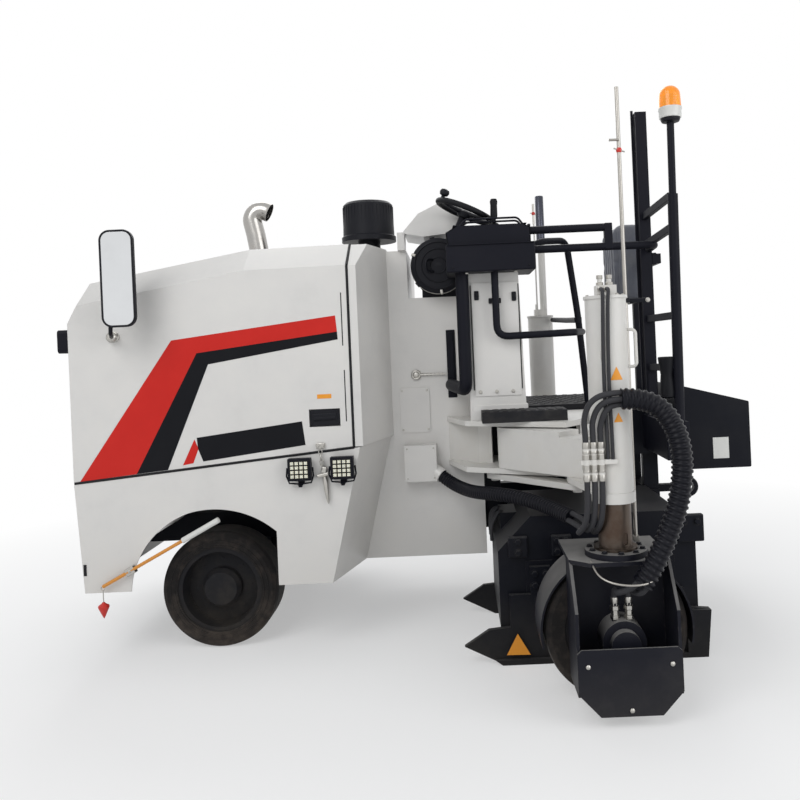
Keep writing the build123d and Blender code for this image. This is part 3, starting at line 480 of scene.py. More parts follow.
# Matt powder coat on rails and posts.
POWDER_COAT = Finish(
    "black_powder_coat", "10111A", 0.5, Grain.MOULDED, 1.2, 0.05, dirt="3C3A38", dirt_share=0.06,
    specular=0.13,
)
# Grey-black paint on the wheel yokes, dusty on its flats.
YOKE_PAINT = Finish(
    "yoke_paint", "191A22", 0.46, Grain.ORANGE_PEEL, 2.5, 0.05, dirt="56534F", dirt_share=0.16, low_dust=260,
    wear="6A6762", specular=0.14, lying=0.62,
)
# Sand-cast and painted hubs and engine castings.
CAST_IRON = Finish(
    "painted_casting", "1E1E21", 0.6, Grain.CAST, 5.0, 0.3, dirt="4E4840", dirt_share=0.3, low_dust=300,
    dirt_mm=90, specular=0.15,
)
# Solid rubber, scuffed brown-grey on the shoulders.
TYRE_RUBBER = Finish(
    "solid_tyre_rubber", "1F1D1D", 0.78, Grain.CAST, 6.0, 0.25, ior=1.52, dirt="5B524A", dirt_share=0.4,
    dirt_mm=60, low_dust=260, sheen=0.06, specular=0.15,
)
# Extruded hose cover, slightly shiny.
HOSE_RUBBER = Finish(
    "hose_rubber", "0C0D12", 0.42, Grain.MOULDED, 1.5, 0.05, ior=1.52, dirt="35322F", dirt_share=0.1,
    specular=0.14,
)
# Nylon spiral sleeve over the bundles.
SPIRAL_SLEEVE = Finish(
    "spiral_sleeve_nylon", "0E0F17", 0.36, Grain.MOULDED, 1.0, 0.04, dirt="3B3835", dirt_share=0.1,
    specular=0.16,
)
# Moulded ABS and polypropylene.
BLACK_PLASTIC = Finish(
    "black_moulded_plastic", "15161C", 0.46, Grain.MOULDED, 1.0, 0.06, dirt="3C3A38", dirt_share=0.08,
    specular=0.16,
)
# Polyurethane-skinned rim of the steering wheel.
WHEEL_GRIP = Finish("soft_grip", "121317", 0.5, Grain.WOVEN, 2.2, 0.08, specular=0.15)
# Turned and greased column: bare steel with a brown oil film.
COLUMN_STEEL = Finish(
    "greased_column_steel", "5B524B", 0.36, Grain.DRAWN, 2.0, 0.03, metallic=1.0, dirt="4A3529",
    dirt_share=0.9, dirt_mm=120,
)
# Zinc-plated bolts, fittings and brackets.
ZINC = Finish(
    "zinc_plate", "B5B3AE", 0.34, Grain.MOULDED, 1.5, 0.04, metallic=1.0, dirt="7A7468", dirt_share=0.4,
    dirt_mm=40,
)
# Polished stainless tube of the exhaust.
STAINLESS = Finish(
    "polished_stainless", "A8A6A3", 0.2, Grain.DRAWN, 3.0, 0.01, metallic=1.0, dirt="9A9186", dirt_share=0.3,
    dirt_mm=60,
)
# Satin bare steel rod.
BARE_ROD = Finish(
    "drawn_steel_rod", "A3A09B", 0.3, Grain.DRAWN, 1.5, 0.02, metallic=1.0, dirt="6D675E", dirt_share=0.3,
)
# Blackened and oiled tube, which mirrors the room in long streaks.
DARK_STEEL = Finish(
    "blackened_steel_tube", "4A4C55", 0.24, Grain.DRAWN, 2.0, 0.01, metallic=1.0, dirt="2E2B28",
    dirt_share=0.3, dirt_mm=70,
)
# Soot and painted shade: a near-black disc just inside the tailpipe's mouth stands for its sooty bore and the
# shade down it.
SOOT_AND_PAINTED_SHADE = Finish("exhaust_soot_and_painted_shade", "0B0A0A", 0.9, Grain.CAST, 2.0, 0.1, specular=0.1)
# Hardened holders and tool shanks, blued and dusty.
TOOL_STEEL = Finish(
    "tool_steel", "4A4642", 0.45, Grain.CAST, 3.0, 0.1, metallic=1.0, dirt="6B6254", dirt_share=0.6,
    dirt_mm=50,
)
# Vinyl film stripes.
RED_VINYL = Finish(
    "red_vinyl", "C8221A", 0.34, Grain.ORANGE_PEEL, 4.0, 0.01, dirt="8E5A52", dirt_share=0.04, specular=0.25,
)
BLACK_VINYL = Finish(
    "black_vinyl", "101116", 0.32, Grain.ORANGE_PEEL, 4.0, 0.01, dirt="3C3A38", dirt_share=0.04,
    specular=0.12,
)
ORANGE_VINYL = Finish(
    "orange_vinyl", "EE9B26", 0.4, Grain.ORANGE_PEEL, 4.0, 0.01, dirt="8A6A3A", dirt_share=0.1,
)
PLATE_WHITE = Finish(
    "plain_white_plate", "DCDCD8", 0.35, Grain.ORANGE_PEEL, 3.0, 0.01, dirt="9A968C", dirt_share=0.15,
    dirt_mm=30,
)
# Gloss paint of the pointer rod.
ORANGE_PAINT = Finish(
    "orange_gloss_paint", "D9913A", 0.35, Grain.ORANGE_PEEL, 2.0, 0.03, dirt="7A5A34", dirt_share=0.3,
    dirt_mm=40,
)
RED_PAINT = Finish(
    "red_gloss_paint", "C8281E", 0.35, Grain.ORANGE_PEEL, 2.0, 0.03, dirt="6A3A34", dirt_share=0.1,
)
# Grey leathercloth with a faint crease pattern.
LEATHERCLOTH = Finish(
    "grey_leathercloth", "5C5F69", 0.55, Grain.WOVEN, 2.5, 0.12, ior=1.5, dirt="7C7A78", dirt_share=0.45,
    dirt_mm=70, sheen=0.15,
)
# Rubber weatherstrip in the seams.
SEAL_RUBBER = Finish("weatherstrip", "0D0E12", 0.6, Grain.MOULDED, 1.0, 0.03, ior=1.52, specular=0.25)
# Ribbed rubber or anti-slip plate on the deck.
DECK_COAT = Finish(
    "anti_slip_coat", "1B1B1F", 0.75, Grain.CAST, 4.0, 0.6, dirt="57544E", dirt_share=0.35, dirt_mm=90,
    specular=0.25,
)


@dataclass(frozen=True)
class Lens:
    """A clear or tinted moulded lens.

    Attributes:
        name: Plain name.
        colour: sRGB hex of the tint.
        roughness: Surface roughness.
        rib_mm: Spacing of its moulded ribs, 0 for none.
        glow: Strength of the light it seems to hold.
        through: Transmission weight.
    """

    name: str
    colour: str
    roughness: float = 0.08
    rib_mm: float = 0.0
    glow: float = 0.0
    through: float = 0.8

    def material(self) -> bpy.types.Material:
        """Return the node material, built on first use."""
        known = bpy.data.materials.get(self.name)
        if known:
            return known
        constants = {
            "Roughness": self.roughness,
            "IOR": 1.49,
            "Transmission Weight": self.through,
            "Emission Strength": self.glow,
            "Emission Color": linear(self.colour),
        }
        material, shader = new_material(self.name, constants)
        tree = material.node_tree
        place = add_node(tree, "ShaderNodeTexCoord").outputs["Object"]
        shade = remap(tree, noise_node(tree, place, 1000 / 25, 3.0), (0.0, 1.0), (0.9, 1.05))
        tree.links.new(tinted(tree, self.colour, shade), shader.inputs["Base Color"])
        if self.rib_mm:
            wave = {"Scale": 1000 / self.rib_mm / 20 * math.pi, "Distortion": 0.0}
            ribs = add_node(
                tree, "ShaderNodeTexWave", wave, {"Vector": place}, bands_direction="Z",
            ).outputs["Fac"]
            bump = add_node(tree, "ShaderNodeBump", {"Strength": 0.7, "Distance": 0.0006}, {"Height": ribs})
            tree.links.new(bump.outputs[0], shader.inputs["Normal"])
        return material


# Amber polycarbonate dome of the flashing lamp.
AMBER_DOME = Lens("amber_polycarbonate", "F2961E", 0.12, rib_mm=6, glow=0.25, through=0.35)
# Clear lens over the lamps' diodes.
CLEAR_LENS = Lens("clear_polycarbonate", "E6EAEE", 0.06, glow=0.05, through=0.75)
# Silvered glass.
MIRROR_GLASS = Finish(
    "silvered_glass", "D9DBDD", 0.03, metallic=1.0, edge_mm=0.5, dirt="A9ACAE", dirt_share=0.12,
)
# Yellowish light-emitting diodes on white boards.
DIODE = Lens("diode_chip", "E9E4C8", 0.2, glow=0.2, through=0.0)


# ---------------------------------------------------------------- mesh kit
class Shape:
    """Collects the faces of one piece, in millimetres of the machine's frame."""

    def __init__(self) -> None:
        """Start with no faces."""
        self.verts: list[Vector] = []
        self.faces: list[tuple[list[int], int, bool]] = []

    def add(
        self, verts: Iterable[Point], faces: Iterable[Sequence[int]], finish: int = 0, smooth: bool = False,
    ) -> None:
        """Add raw faces.

        Args:
            verts: Corners.
            faces: Corner numbers of each face.
            finish: Index of the piece's finish.
            smooth: Whether the faces shade smoothly.
        """
        start = len(self.verts)
        self.verts += [Vector(v) for v in verts]
        self.faces += [([start + i for i in f], finish, smooth) for f in faces]

    def mesh(self, bm: bmesh.types.BMesh, finish: int = 0, smooth: bool = False) -> None:
        """Add a bmesh and free it.

        Args:
            bm: The bmesh.
            finish: Index of the piece's finish.
            smooth: Whether its faces shade smoothly.
        """
        bm.verts.index_update()
        self.add(
            [v.co.copy() for v in bm.verts], [[v.index for v in f.verts] for f in bm.faces], finish, smooth,
        )
        bm.free()

    def box(
        self, centre: Point, size: Point, bevel: float = 1.0, turn: Point = (0, 0, 0), finish: int = 0,
    ) -> None:
        """Add a box with rounded edges.

        Args:
            centre: Its middle.
            size: Its three lengths.
            bevel: Radius of its edges.
            turn: Rotation about X, Y and Z in degrees.
            finish: Index of the piece's finish.
        """
        bm = bmesh.new()
        bmesh.ops.create_cube(bm, size=1.0)
        bmesh.ops.scale(bm, vec=Vector(size), verts=bm.verts)
        if bevel:
            bmesh.ops.bevel(
                bm, geom=list(bm.edges), offset=min(bevel, min(size) * 0.45), segments=2, affect="EDGES",
                profile=0.5,
            )
        about_x, about_y, about_z = (
            Matrix.Rotation(math.radians(d), 4, axis)
            for d, axis in zip(turn, "XYZ")
        )
        spin = about_z @ about_y @ about_x
        bmesh.ops.transform(bm, matrix=Matrix.Translation(Vector(centre)) @ spin, verts=bm.verts)
        self.mesh(bm, finish)

    def lathe(
        self, profile: Sequence[tuple[float, float]], base: Point, axis: Point, steps: int = 40,
        finish: int = 0, smooth: bool = True,
    ) -> None:
        """Turn a profile about an axis.

        Args:
            profile: Radius and height pairs from the base outwards.
            base: Where height is 0.
            axis: Direction of rising height.
            steps: Sides of the circle.
            finish: Index of the piece's finish.
            smooth: Whether the sides shade smoothly.
        """
        turn = Vector(UP).rotation_difference(Vector(axis)).to_matrix()
        verts, faces = [], []
        for r, h in profile:
            for a in turns(steps):
                verts.append(Vector(base) + turn @ Vector((r * math.cos(a), r * math.sin(a), h)))
        for i in range(len(profile) - 1):
            for k in range(steps):
                n = (k + 1) % steps
                faces.append((i * steps + k, i * steps + n, (i + 1) * steps + n, (i + 1) * steps + k))
        for end, flip in ((0, True), (len(profile) - 1, False)):
            if profile[end][0] > 0.01:
                cap = [end * steps + k for k in range(steps)]
                faces.append(tuple(reversed(cap)) if flip else tuple(cap))
        self.add(verts, faces, finish, smooth)

    def plate(self, outline: Sequence[Point], depth: Point, bevel: float = 0.0, finish: int = 0) -> None:
        """Carry a flat outline along a vector.

        Args:
            outline: Corners in order.
            depth: Offset to the far face.
            bevel: Radius of its edges.
            finish: Index of the piece's finish.
        """
        bm = bmesh.new()
        face = bm.faces.new([bm.verts.new(Vector(p)) for p in outline])
        made = bmesh.ops.extrude_face_region(bm, geom=[face])
        bmesh.ops.translate(
            bm, vec=Vector(depth), verts=[g for g in made["geom"] if isinstance(g, bmesh.types.BMVert)],
        )
        bmesh.ops.recalc_face_normals(bm, faces=bm.faces)
        if bevel:
            bmesh.ops.bevel(bm, geom=list(bm.edges), offset=bevel, segments=2, affect="EDGES", profile=0.5)
        self.mesh(bm, finish)

    def tube(
        self, points: Sequence[Point], radius: float | Sequence[float], sides: int = 14, finish: int = 0,
        closed: bool = False,
    ) -> None:
        """Sweep a circle along points, with the ends capped.

        Args:
            points: Line of the middle, close together on bends.
            radius: One radius, or one for each point.
            sides: Sides of the circle.
            finish: Index of the piece's finish.
            closed: Whether the last point joins the first.
        """
        radii = list(radius) if isinstance(radius, (list, tuple)) else [radius] * len(points)
        self.sweep(points, lambda i, _: radii[i], sides, finish, closed)

    def sweep(
        self, points: Sequence[Point], radius: Any, sides: int, finish: int = 0, closed: bool = False,
    ) -> None:
        """Sweep a closed section along points, with the ends capped.

        Args:
            points: Line of the middle.
            radius: Function of the point's number and the angle, which gives the radius there.
            sides: Sides of the section.
            finish: Index of the piece's finish.
            closed: Whether the last point joins the first.
        """
        line = [Vector(p) for p in points]
        count = len(line)
        verts, faces = [], []
        up = None
        for i, p in enumerate(line):
            ahead = line[(i + 1) % count] if closed or i + 1 < count else p
            behind = line[i - 1] if closed or i else p
            along = (ahead - behind).normalized()
            if up is None:
                up = along.orthogonal().normalized()
            up = (up - along * up.dot(along)).normalized()
            across = along.cross(up)
            verts += [p + (up * math.cos(a) + across * math.sin(a)) * radius(i, a) for a in turns(sides)]
        for i in range(count if closed else count - 1):
            for k in range(sides):
                n = (k + 1) % sides
                j = (i + 1) % count
                faces.append((i * sides + k, i * sides + n, j * sides + n, j * sides + k))
        if not closed:
            faces.append(tuple(reversed(range(sides))))
            faces.append(tuple((count - 1) * sides + k for k in range(sides)))
        self.add(verts, faces, finish, True)

    def beam(self, a: Point, b: Point, wide: float, high: float, finish: int = 0) -> None:
        """Add a flat bar whose ends are upright, as a strut welded between posts.

        Args:
            a: Middle of one end.
            b: Middle of the other.
            wide: Its size along X.
            high: Its size along Z.
            finish: Index of the piece's finish.
        """
        a, w, h = Vector(a), wide / 2, high / 2
        self.plate(
            [a + Vector(c) for c in ((-w, 0, -h), (w, 0, -h), (w, 0, h), (-w, 0, h))], Vector(b) - a, 1.5,
            finish,
        )

    def hex_bolt(
        self, at: Point, axis: Point, across: float = 19.0, high: float = 8.0, finish: int = 0,
    ) -> None:
        """Add a hexagon head on a washer.

        Args:
            at: Middle of the seat.
            axis: Direction out of the surface.
            across: Width across flats.
            high: Height of the head.
            finish: Index of the piece's finish.
        """
        r = across / math.sqrt(3)
        self.lathe([(r * 1.25, 0), (r * 1.25, 2.0), (r * 1.2, 2.4), (0, 2.4)], at, axis, 20, finish, False)
        self.lathe([(r, 2.0), (r, high), (r * 0.82, high + 1.6), (0, high + 1.6)], at, axis, 6, finish, False)

    def piece(
        self, name: str, body: str, finishes: Sequence[Any], replaces: Sequence[str] = (),
    ) -> bpy.types.Object:
        """Make the object and attach it.

        Args:
            name: Object name.
            body: The moving body it rides on.
            finishes: Its finishes, by index.
            replaces: CAD nodes it stands for.

        Returns:
            The object.
        """
        data = bpy.data.meshes.new(name)
        data.from_pydata([(v + SHIFT) * MM for v in self.verts], [], [f for f, _, _ in self.faces])
        for polygon, (_, finish, smooth) in zip(data.polygons, self.faces):
            polygon.material_index = finish
            polygon.use_smooth = smooth
        for finish in finishes:
            data.materials.append(finish.material())
        data.validate()
        obj = show(name, data)
        if any(smooth for _, _, smooth in self.faces):
            sharpen(obj)
        return attach(obj, body, replaces)


def sharpen(obj: bpy.types.Object, degrees: float = 38.0) -> None:
    """Mark edges sharper than an angle as sharp, so smooth faces keep their creases.

    Args:
        obj: A mesh object.
        degrees: The angle.
    """
    bm = bmesh.new()
    bm.from_mesh(obj.data)
    for edge in bm.edges:
        if len(edge.link_faces) == 2 and edge.calc_face_angle(0.0) > math.radians(degrees):
            edge.smooth = False
    bm.to_mesh(obj.data)
    bm.free()


def attach(obj: bpy.types.Object, body: str, replaces: Sequence[str] = ()) -> bpy.types.Object:
    """Let a piece ride on a body, and hide the CAD nodes it stands for.

    Args:
        obj: The piece.
        body: The moving body.
        replaces: CAD nodes it stands for.

    Returns:
        The piece.
    """
    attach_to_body(obj, body)
    if replaces:
        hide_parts(*replaces)
    LOG.info("piece %s on %s", obj.name, body)
    return obj


def smooth_line(points: Sequence[Point], steps: int = 12) -> list[Vector]:
    """Read a smooth line off a spline with these control points.

    Args:
        points: Control points, in any unit.
        steps: Samples for each control point.

    Returns:
        Points along the spline, in the same unit.
    """
    curve = bpy.data.curves.new("route", "CURVE")
    curve.dimensions = "3D"
    curve.resolution_u = steps
    spline = curve.splines.new("NURBS")
    spline.points.add(len(points) - 1)
    for slot, p in zip(spline.points, points):
        slot.co = (*p, 1.0)
    spline.order_u = 3
    spline.use_endpoint_u = True
    holder = bpy.data.objects.new("route", curve)
    data = bpy.data.meshes.new_from_object(holder)
    line = [v.co.copy() for v in data.vertices]
    bpy.data.objects.remove(holder)
    bpy.data.curves.remove(curve)
    bpy.data.meshes.remove(data)
    return line


def bar_line(corners: Sequence[Point], bend: float, steps: int = 6) -> list[Vector]:
    """Middle line of a bent steel bar or tube.

    Args:
        corners: Where its straight runs meet, mm.
        bend: How far from a corner each bend begins.
        steps: Samples on each bend.

    Returns:
        Points along the bar.
    """
    points = [Vector(p) for p in corners]
    line = [points[0]]
    for before, corner, after in zip(points, points[1:], points[2:]):
        a = corner + (before - corner).normalized() * min(bend, (before - corner).length * 0.49)
        b = corner + (after - corner).normalized() * min(bend, (after - corner).length * 0.49)
        for k in range(steps + 1):
            t = k / steps
            line.append(a * (1 - t) ** 2 + corner * 2 * t * (1 - t) + b * t**2)
    return [*line, points[-1]]


# ---------------------------------------------------------------- finishes of the CAD pieces
NODES_BY_FINISH = (
    (WHITE_ENAMEL, "fender_left fender_right front_panel hood_shell"),
    (WHITE_ENAMEL, "rear_cowl mid_body console_pedestal dash_cover"),
    (WHITE_ENAMEL_WORN, "swing_bracket swing_arm guide_link left_barrel right_barrel"),
    (BLACK_ENAMEL, "chassis_frame rear_box tow_eye drum_housing side_plate_left side_plate_right scraper"),
    (BLACK_ENAMEL, "front_axle knuckle_left knuckle_right tie_rod"),
    (POWDER_COAT, "control_console handrails post_frame beacon"),
    (POWDER_COAT, "work_lights headlights mirror_left mirror_right"),
    (DECK_COAT, "platform_deck"),
    (YOKE_PAINT, "yoke_left yoke_right"),
    (CAST_IRON, "engine_block rim_front_left rim_front_right rim_rear_left rim_rear_right"),
    (TYRE_RUBBER, "tyre_front_left tyre_front_right tyre_rear_left tyre_rear_right"),
    (COLUMN_STEEL, "column_left column_right"),
    (BARE_ROD, "scale_rod"),
    (STAINLESS, "exhaust_pipe"),
    (TOOL_STEEL, "milling_drum"),
    (BLACK_PLASTIC, "air_precleaner air_cleaner steering_wheel"),
    (ORANGE_PAINT, "guide_pointer"),
    (HOSE_RUBBER, "hose_lower hose_upper hose_trio hose_lines hose_motor"),
    (LEATHERCLOTH, "backrest"),
)
NODE_FINISH = {name: finish for finish, names in NODES_BY_FINISH for name in names.split()}


def dress_nodes() -> None:
    """Give every CAD piece its finish."""
    for name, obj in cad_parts.items():
        obj.data.materials.clear()
        obj.data.materials.append(NODE_FINISH.get(name, BLACK_ENAMEL).material())


# ---------------------------------------------------------------- engine end
@dataclass
class EngineCover:
    """Stripes, seals, latch, grille and small fittings of the hood and fenders."""

    half_width: float = 750.0
    film: float = 0.7
    seal_radius: float = 6.5
    meeting: tuple[Point, ...] = ((543, 1496), (1197, 1424), (1497, 877))
    red: tuple[Point, ...] = ((1760, 853), (1312, 1488), (549, 1571), *meeting)
    black: tuple[Point, ...] = (*reversed(meeting), (541, 1460), (1146, 1370), (1352, 890))
    badge: tuple[Point, ...] = ((1213, 1033), (723, 1088), (711, 978), (1187, 922), (1209, 982))
    flash: tuple[Point, ...] = ((1282, 908), (1224, 1026), (1207, 982), (1233, 916))

    def wall(self, points: Sequence[Point], side: int, out: float = 0.05) -> list[Vector]:
        """Lay side-view points on the hood's left or right wall.

        Args:
            points: X and Z pairs.
            side: 1 for left, -1 for right.
            out: Gap to the wall.

        Returns:
            Points on the wall.
        """
        return [Vector((x, side * (self.half_width + out), z)) for x, z in points]

    def stripes(self) -> None:
        """Lay the red and black film on both walls."""
        for side, word in SIDES:
            for tone, outline, finish in (("red", self.red, RED_VINYL), ("black", self.black, BLACK_VINYL)):
                shape = Shape()
                shape.plate(self.wall(outline, side), (0, side * self.film, 0))
                shape.piece(f"stripe_{tone}_{word}", "hood", [finish])
            badge = Shape()
            for index, outline in enumerate((self.badge, self.flash)):
                badge.plate(self.wall(outline, side), (0, side * self.film, 0), finish=index)
            badge.piece(f"plain_badge_{word}", "hood", [BLACK_VINYL, RED_VINYL])

    def seals(self) -> None:
        """Run the weatherstrip round the hood's lower and rear edges."""
        for side, word in SIDES:
            shape = Shape()
            y = side * (self.half_width - 1.5)
            nose, corner = Vector((1786, y, 845)), Vector((487.5, y, 957))
            shoulder = Vector((486.5, y, 1802))
            for run in ((nose, (nose + corner) / 2, corner), (corner, (corner + shoulder) / 2, shoulder)):
                shape.tube(run, self.seal_radius, 10)
            shape.tube([shoulder, (486.5, side * 600, 1914)], self.seal_radius, 10)
            shape.piece(f"hood_seal_{word}", "chassis", [SEAL_RUBBER])

    def latches(self) -> None:
        """Fill the latch pockets with a plate, paddle and screws, and cut the bend slots."""
        for side, word in SIDES:
            shape = Shape()
            y = side * (self.half_width - 8)
            turn = (0, 1.8, 0)
            shape.box((617, y, 1100), (140, 10, 78), 3, turn)
            shape.box((617, y + side * 6, 1104), (112, 8, 34), 4, turn)
            shape.box((617, y + side * 10, 1098), (96, 5, 12), 2, turn)
            for x in (556, 678):
                for z in (1072, 1128):
                    shape.lathe([(5, 0), (4.6, 2.4), (0, 3)], (x, y + side * 5, z), (0, side, 0), 14)
            shape.piece(f"hood_latch_{word}", "hood", [BLACK_PLASTIC])
            slots = Shape()
            for x, z0, z1 in ((519, 1430, 1676), (517, 1079, 1317)):
                slots.box((x, side * (self.half_width + 0.2), (z0 + z1) / 2), (5, 1, z1 - z0), 0.4)
            slots.piece(f"bend_slots_{word}", "hood", [SEAL_RUBBER])

    def grille(self) -> None:
        """Hang a fine mesh behind the nose slots and lenses in the lamps."""
        shape = Shape()
        for k in range(46):
            y = -450 + k * 20
            shape.box((1776, y, 1270), (2, 2.4, 640), 0)
        for k in range(16):
            shape.box((1776, 0, 970 + k * 40), (2, 900, 2.4), 0)
        shape.piece("grille_mesh", "hood", [POWDER_COAT])
        lamps = Shape()
        for side in (-1, 1):
            lamps.box((1862, side * 650, 1505), (4, 88, 88), 2, finish=0)
            lamps.lathe([(34, 0), (33, 2), (22, 5), (0, 6)], (1863, side * 650, 1505), (1, 0, 0), 32, 1)
        lamps.piece("headlight_lenses", "hood", [BLACK_PLASTIC, CLEAR_LENS])

    def build(self) -> None:
        """Build every fitting of the engine end."""
        self.stripes()
        self.seals()
        self.latches()
        self.grille()
        small = Shape()
        small.box((1755, 751, 442), (14, 3, 52), 1)
        small.piece("fender_slot", "chassis", [SEAL_RUBBER])


@dataclass
class Mirrors:
    """Glass, rim and ball joint of the two mirrors."""

    centre: Point = (1475.0, 922.0, 1768.0)
    size: tuple[float, float, float] = (150.0, 430.0, 46.0)
    foot: Point = (1575.0, 750.0, 1514.0)

    def rounded(self, grow: float, y: float, steps: int = 8) -> list[Vector]:
        """Outline of the mirror head, grown or shrunk.

        Args:
            grow: Offset of the outline, negative to shrink.
            y: Where it lies.
            steps: Points on each corner.

        Returns:
            The outline, anticlockwise.
        """
        width, height, r = self.size[0] / 2 + grow, self.size[1] / 2 + grow, max(self.size[2] + grow, 4)
        points = []
        for cx, cz, start in ((1, 1, 0), (-1, 1, 90), (-1, -1, 180), (1, -1, 270)):
            for k in range(steps + 1):
                a = math.radians(start + 90 * k / steps)
                x = self.centre[0] + cx * (width - r) + r * math.cos(a)
                z = self.centre[2] + cz * (height - r) + r * math.sin(a)
                points.append(Vector((x, y, z)))
        return points

    def build(self) -> None:
        """Build shell, glass, rim, stalk and ball joint on both sides."""
        out = self.centre[1]
        for side, word in SIDES:
            glass = Shape()
            glass.plate(self.rounded(-9, side * (out + 0.4)), (0, side * 1.2, 0))
            glass.piece(f"mirror_glass_{word}", "hood", [MIRROR_GLASS])
            rim = Shape()
            rim.tube(self.rounded(-4, side * (out + 0.5)), 4.6, 10, closed=True)
            rim.plate(self.rounded(0, side * out), (0, -side * 20, 0), 3)
            rim.plate(self.rounded(-10, side * (out - 20)), (0, -side * 12, 0), 5)
            x, wall, z = self.foot
            stalk = [
                (x, side * (wall + 26), z), (1523, side * (out - 18), z + 12),
                (1519, side * (out - 17), 1590),
            ]
            rim.tube(bar_line(stalk, 30), 9, 14)
            rim.piece(f"mirror_head_{word}", "hood", [BLACK_PLASTIC], [f"mirror_{word}"])
            foot = Shape()
            ball = [(25, 0), (25, 7), (19, 10), (19, 14), (24, 20), (25, 28), (22, 36), (14, 42), (0, 44)]
            foot.lathe(ball, (x, side * (wall + 0.2), z), (0, side, 0), 28)
            foot.hex_bolt((x, side * (wall + 43), z), (0, side, 0), 17, 7)
            foot.piece(f"mirror_foot_{word}", "hood", [ZINC])


@dataclass
class WorkLamps:
    """Diode work lamps on the left fender, with the hanging hitch pin between them."""

    centres: tuple[float, ...] = (540.0, 735.0)
    z: float = 872.0
    y: float = 808.0

    def build(self) -> None:
        """Build lens, diodes, fins and bracket of each lamp, and the chain."""
        lamps = Shape()
        for x in self.centres:
            lamps.box((x, self.y + 1.5, self.z), (92, 3, 88), 2, finish=1)
            for i in range(4):
                for k in range(4):
                    px, pz = x - 31.5 + i * 21, self.z - 30 + k * 20
                    lamps.box((px, self.y + 3.6, pz), (15, 3, 14), 2, finish=2)
                    lamps.lathe(
                        [(7.5, 0), (6.5, 2.5), (3, 4.2), (0, 4.6)], (px, self.y + 4.6, pz), (0, 1, 0), 12, 3,
                    )
            for k in range(6):
                lamps.box((x - 40 + k * 16, self.y - 44, self.z), (4, 14, 86), 1)
            yoke = (
                (-58, -20, 8), (-62, -20, -30), (-50, -20, -62), (0, -22, -68), (50, -20, -62),
                (62, -20, -30), (58, -20, 8),
            )
            lamps.tube([(x + dx, self.y + dy, self.z + dz) for dx, dy, dz in yoke], 4, 8)
            lamps.hex_bolt((x, self.y - 22, self.z - 72), (0, 0, -1), 17, 8)
        lamps.piece(
            "work_lamp_faces", "chassis", [POWDER_COAT, BLACK_PLASTIC, DIODE, CLEAR_LENS],
        )
        chain = Shape()
        chain.box((641, 757, 972), (40, 12, 26), 3)
        for x in (630, 653):
            chain.hex_bolt((x, 763, 974), (0, 1, 0), 13, 6)
        for k in range(4):
            z = 945 - k * 24
            flat = k % 2
            wide, deep = (0, 8) if flat else (8, 0)
            link = [
                (641 - k * 2 + wide * math.cos(a), 768 + deep * math.cos(a), z + 15 * math.sin(a))
                for a in turns(14)
            ]
            chain.tube(link, 2.6, 7, closed=True)
        chain.box((634, 768, 838), (58, 12, 16), 4, (0, 12, 0))
        chain.box((628, 768, 862), (26, 16, 30), 5, (0, -14, 0))
        chain.lathe(
            [(9, 0), (12, 20), (11, 60), (7, 110), (3, 126), (0, 128)], (626, 768, 832), (-0.1, 0, -1), 14,
        )
        chain.piece("hitch_pin_chain", "chassis", [ZINC])


# ---------------------------------------------------------------- intake and lamp
@dataclass
class Intake:
    """Screen and ribs of the pre-cleaner, and the canister's lid."""

    precleaner: tuple[float, float] = (443.0, 100.0)
    canister: tuple[float, float] = (67.0, 1813.0)

    def build(self) -> None:
        """Build the pre-cleaner's vanes and the canister's clamps."""
        shape = Shape()
        x, y = self.precleaner
        for a in turns(40):
            shape.box(
                (x + 134.8 * math.cos(a), y + 134.8 * math.sin(a), 2104), (5, 7, 150), 1.5,
                (0, 0, math.degrees(a)),
            )
        shape.lathe([(62, 1916), (66, 1920), (66, 1934), (62, 1938)], (x, y, 0), UP, 40, 1)
        shape.piece("precleaner_ribs", "chassis", [BLACK_PLASTIC, ZINC])
        lid = Shape()
        cx, cz = self.canister
        for r in (118, 84, 40):
            lid.tube(ring((cx, 450, cz), r, 48), 3, 8, closed=True)
        for a in (25, 145, 265):
            t = math.radians(a)
            lid.box(
                (cx + 134 * math.cos(t), 430, cz + 134 * math.sin(t)), (22, 52, 14), 3, (0, -a, 0), finish=1,
            )
        lid.tube(ring((cx, 392, cz), 137, 60), 4.5, 8, finish=1, closed=True)
        lid.piece("canister_lid", "chassis", [BLACK_PLASTIC, ZINC])


@dataclass
class Exhaust:
    """Stainless tailpipe that leans forward and elbows to the rear."""

    y: float = 100.0
    radius: float = 51.0
    elbow: tuple[float, float] = (1021.0, 2134.0)
    bend: float = 54.0

    def build(self) -> None:
        """Build the pipe, its open end and the clamp at its foot."""
        shape = Shape()
        line = [Vector((1040, self.y, 1852)), Vector((1044, self.y, 1960)), Vector((1060, self.y, 2060))]
        x, z = self.elbow
        for a in (math.radians(10 * k) for k in range(-1, 13)):
            line.append(Vector((x + self.bend * math.cos(a), self.y, z + self.bend * math.sin(a))))
        shape.tube(line, self.radius, 40)
        out = (line[-1] - line[-2]).normalized()
        shape.lathe([(51, -2), (51.4, 12), (50.6, 14), (48.5, 14), (48, 1), (0, 1)], line[-1], out, 40)
        # near-black disc just inside the mouth: painted shade of the pipe's bore, over some real soot
        shape.lathe([(47.6, 1.2), (0, 1.3)], line[-1], out, 40, 1)
        shape.lathe([(53, -9), (55, -7), (55, 7), (53, 9)], (1041, self.y, 1900), (0.03, 0, 1), 40)
        shape.piece("tailpipe", "hood", [STAINLESS, SOOT_AND_PAINTED_SHADE], ["exhaust_pipe"])


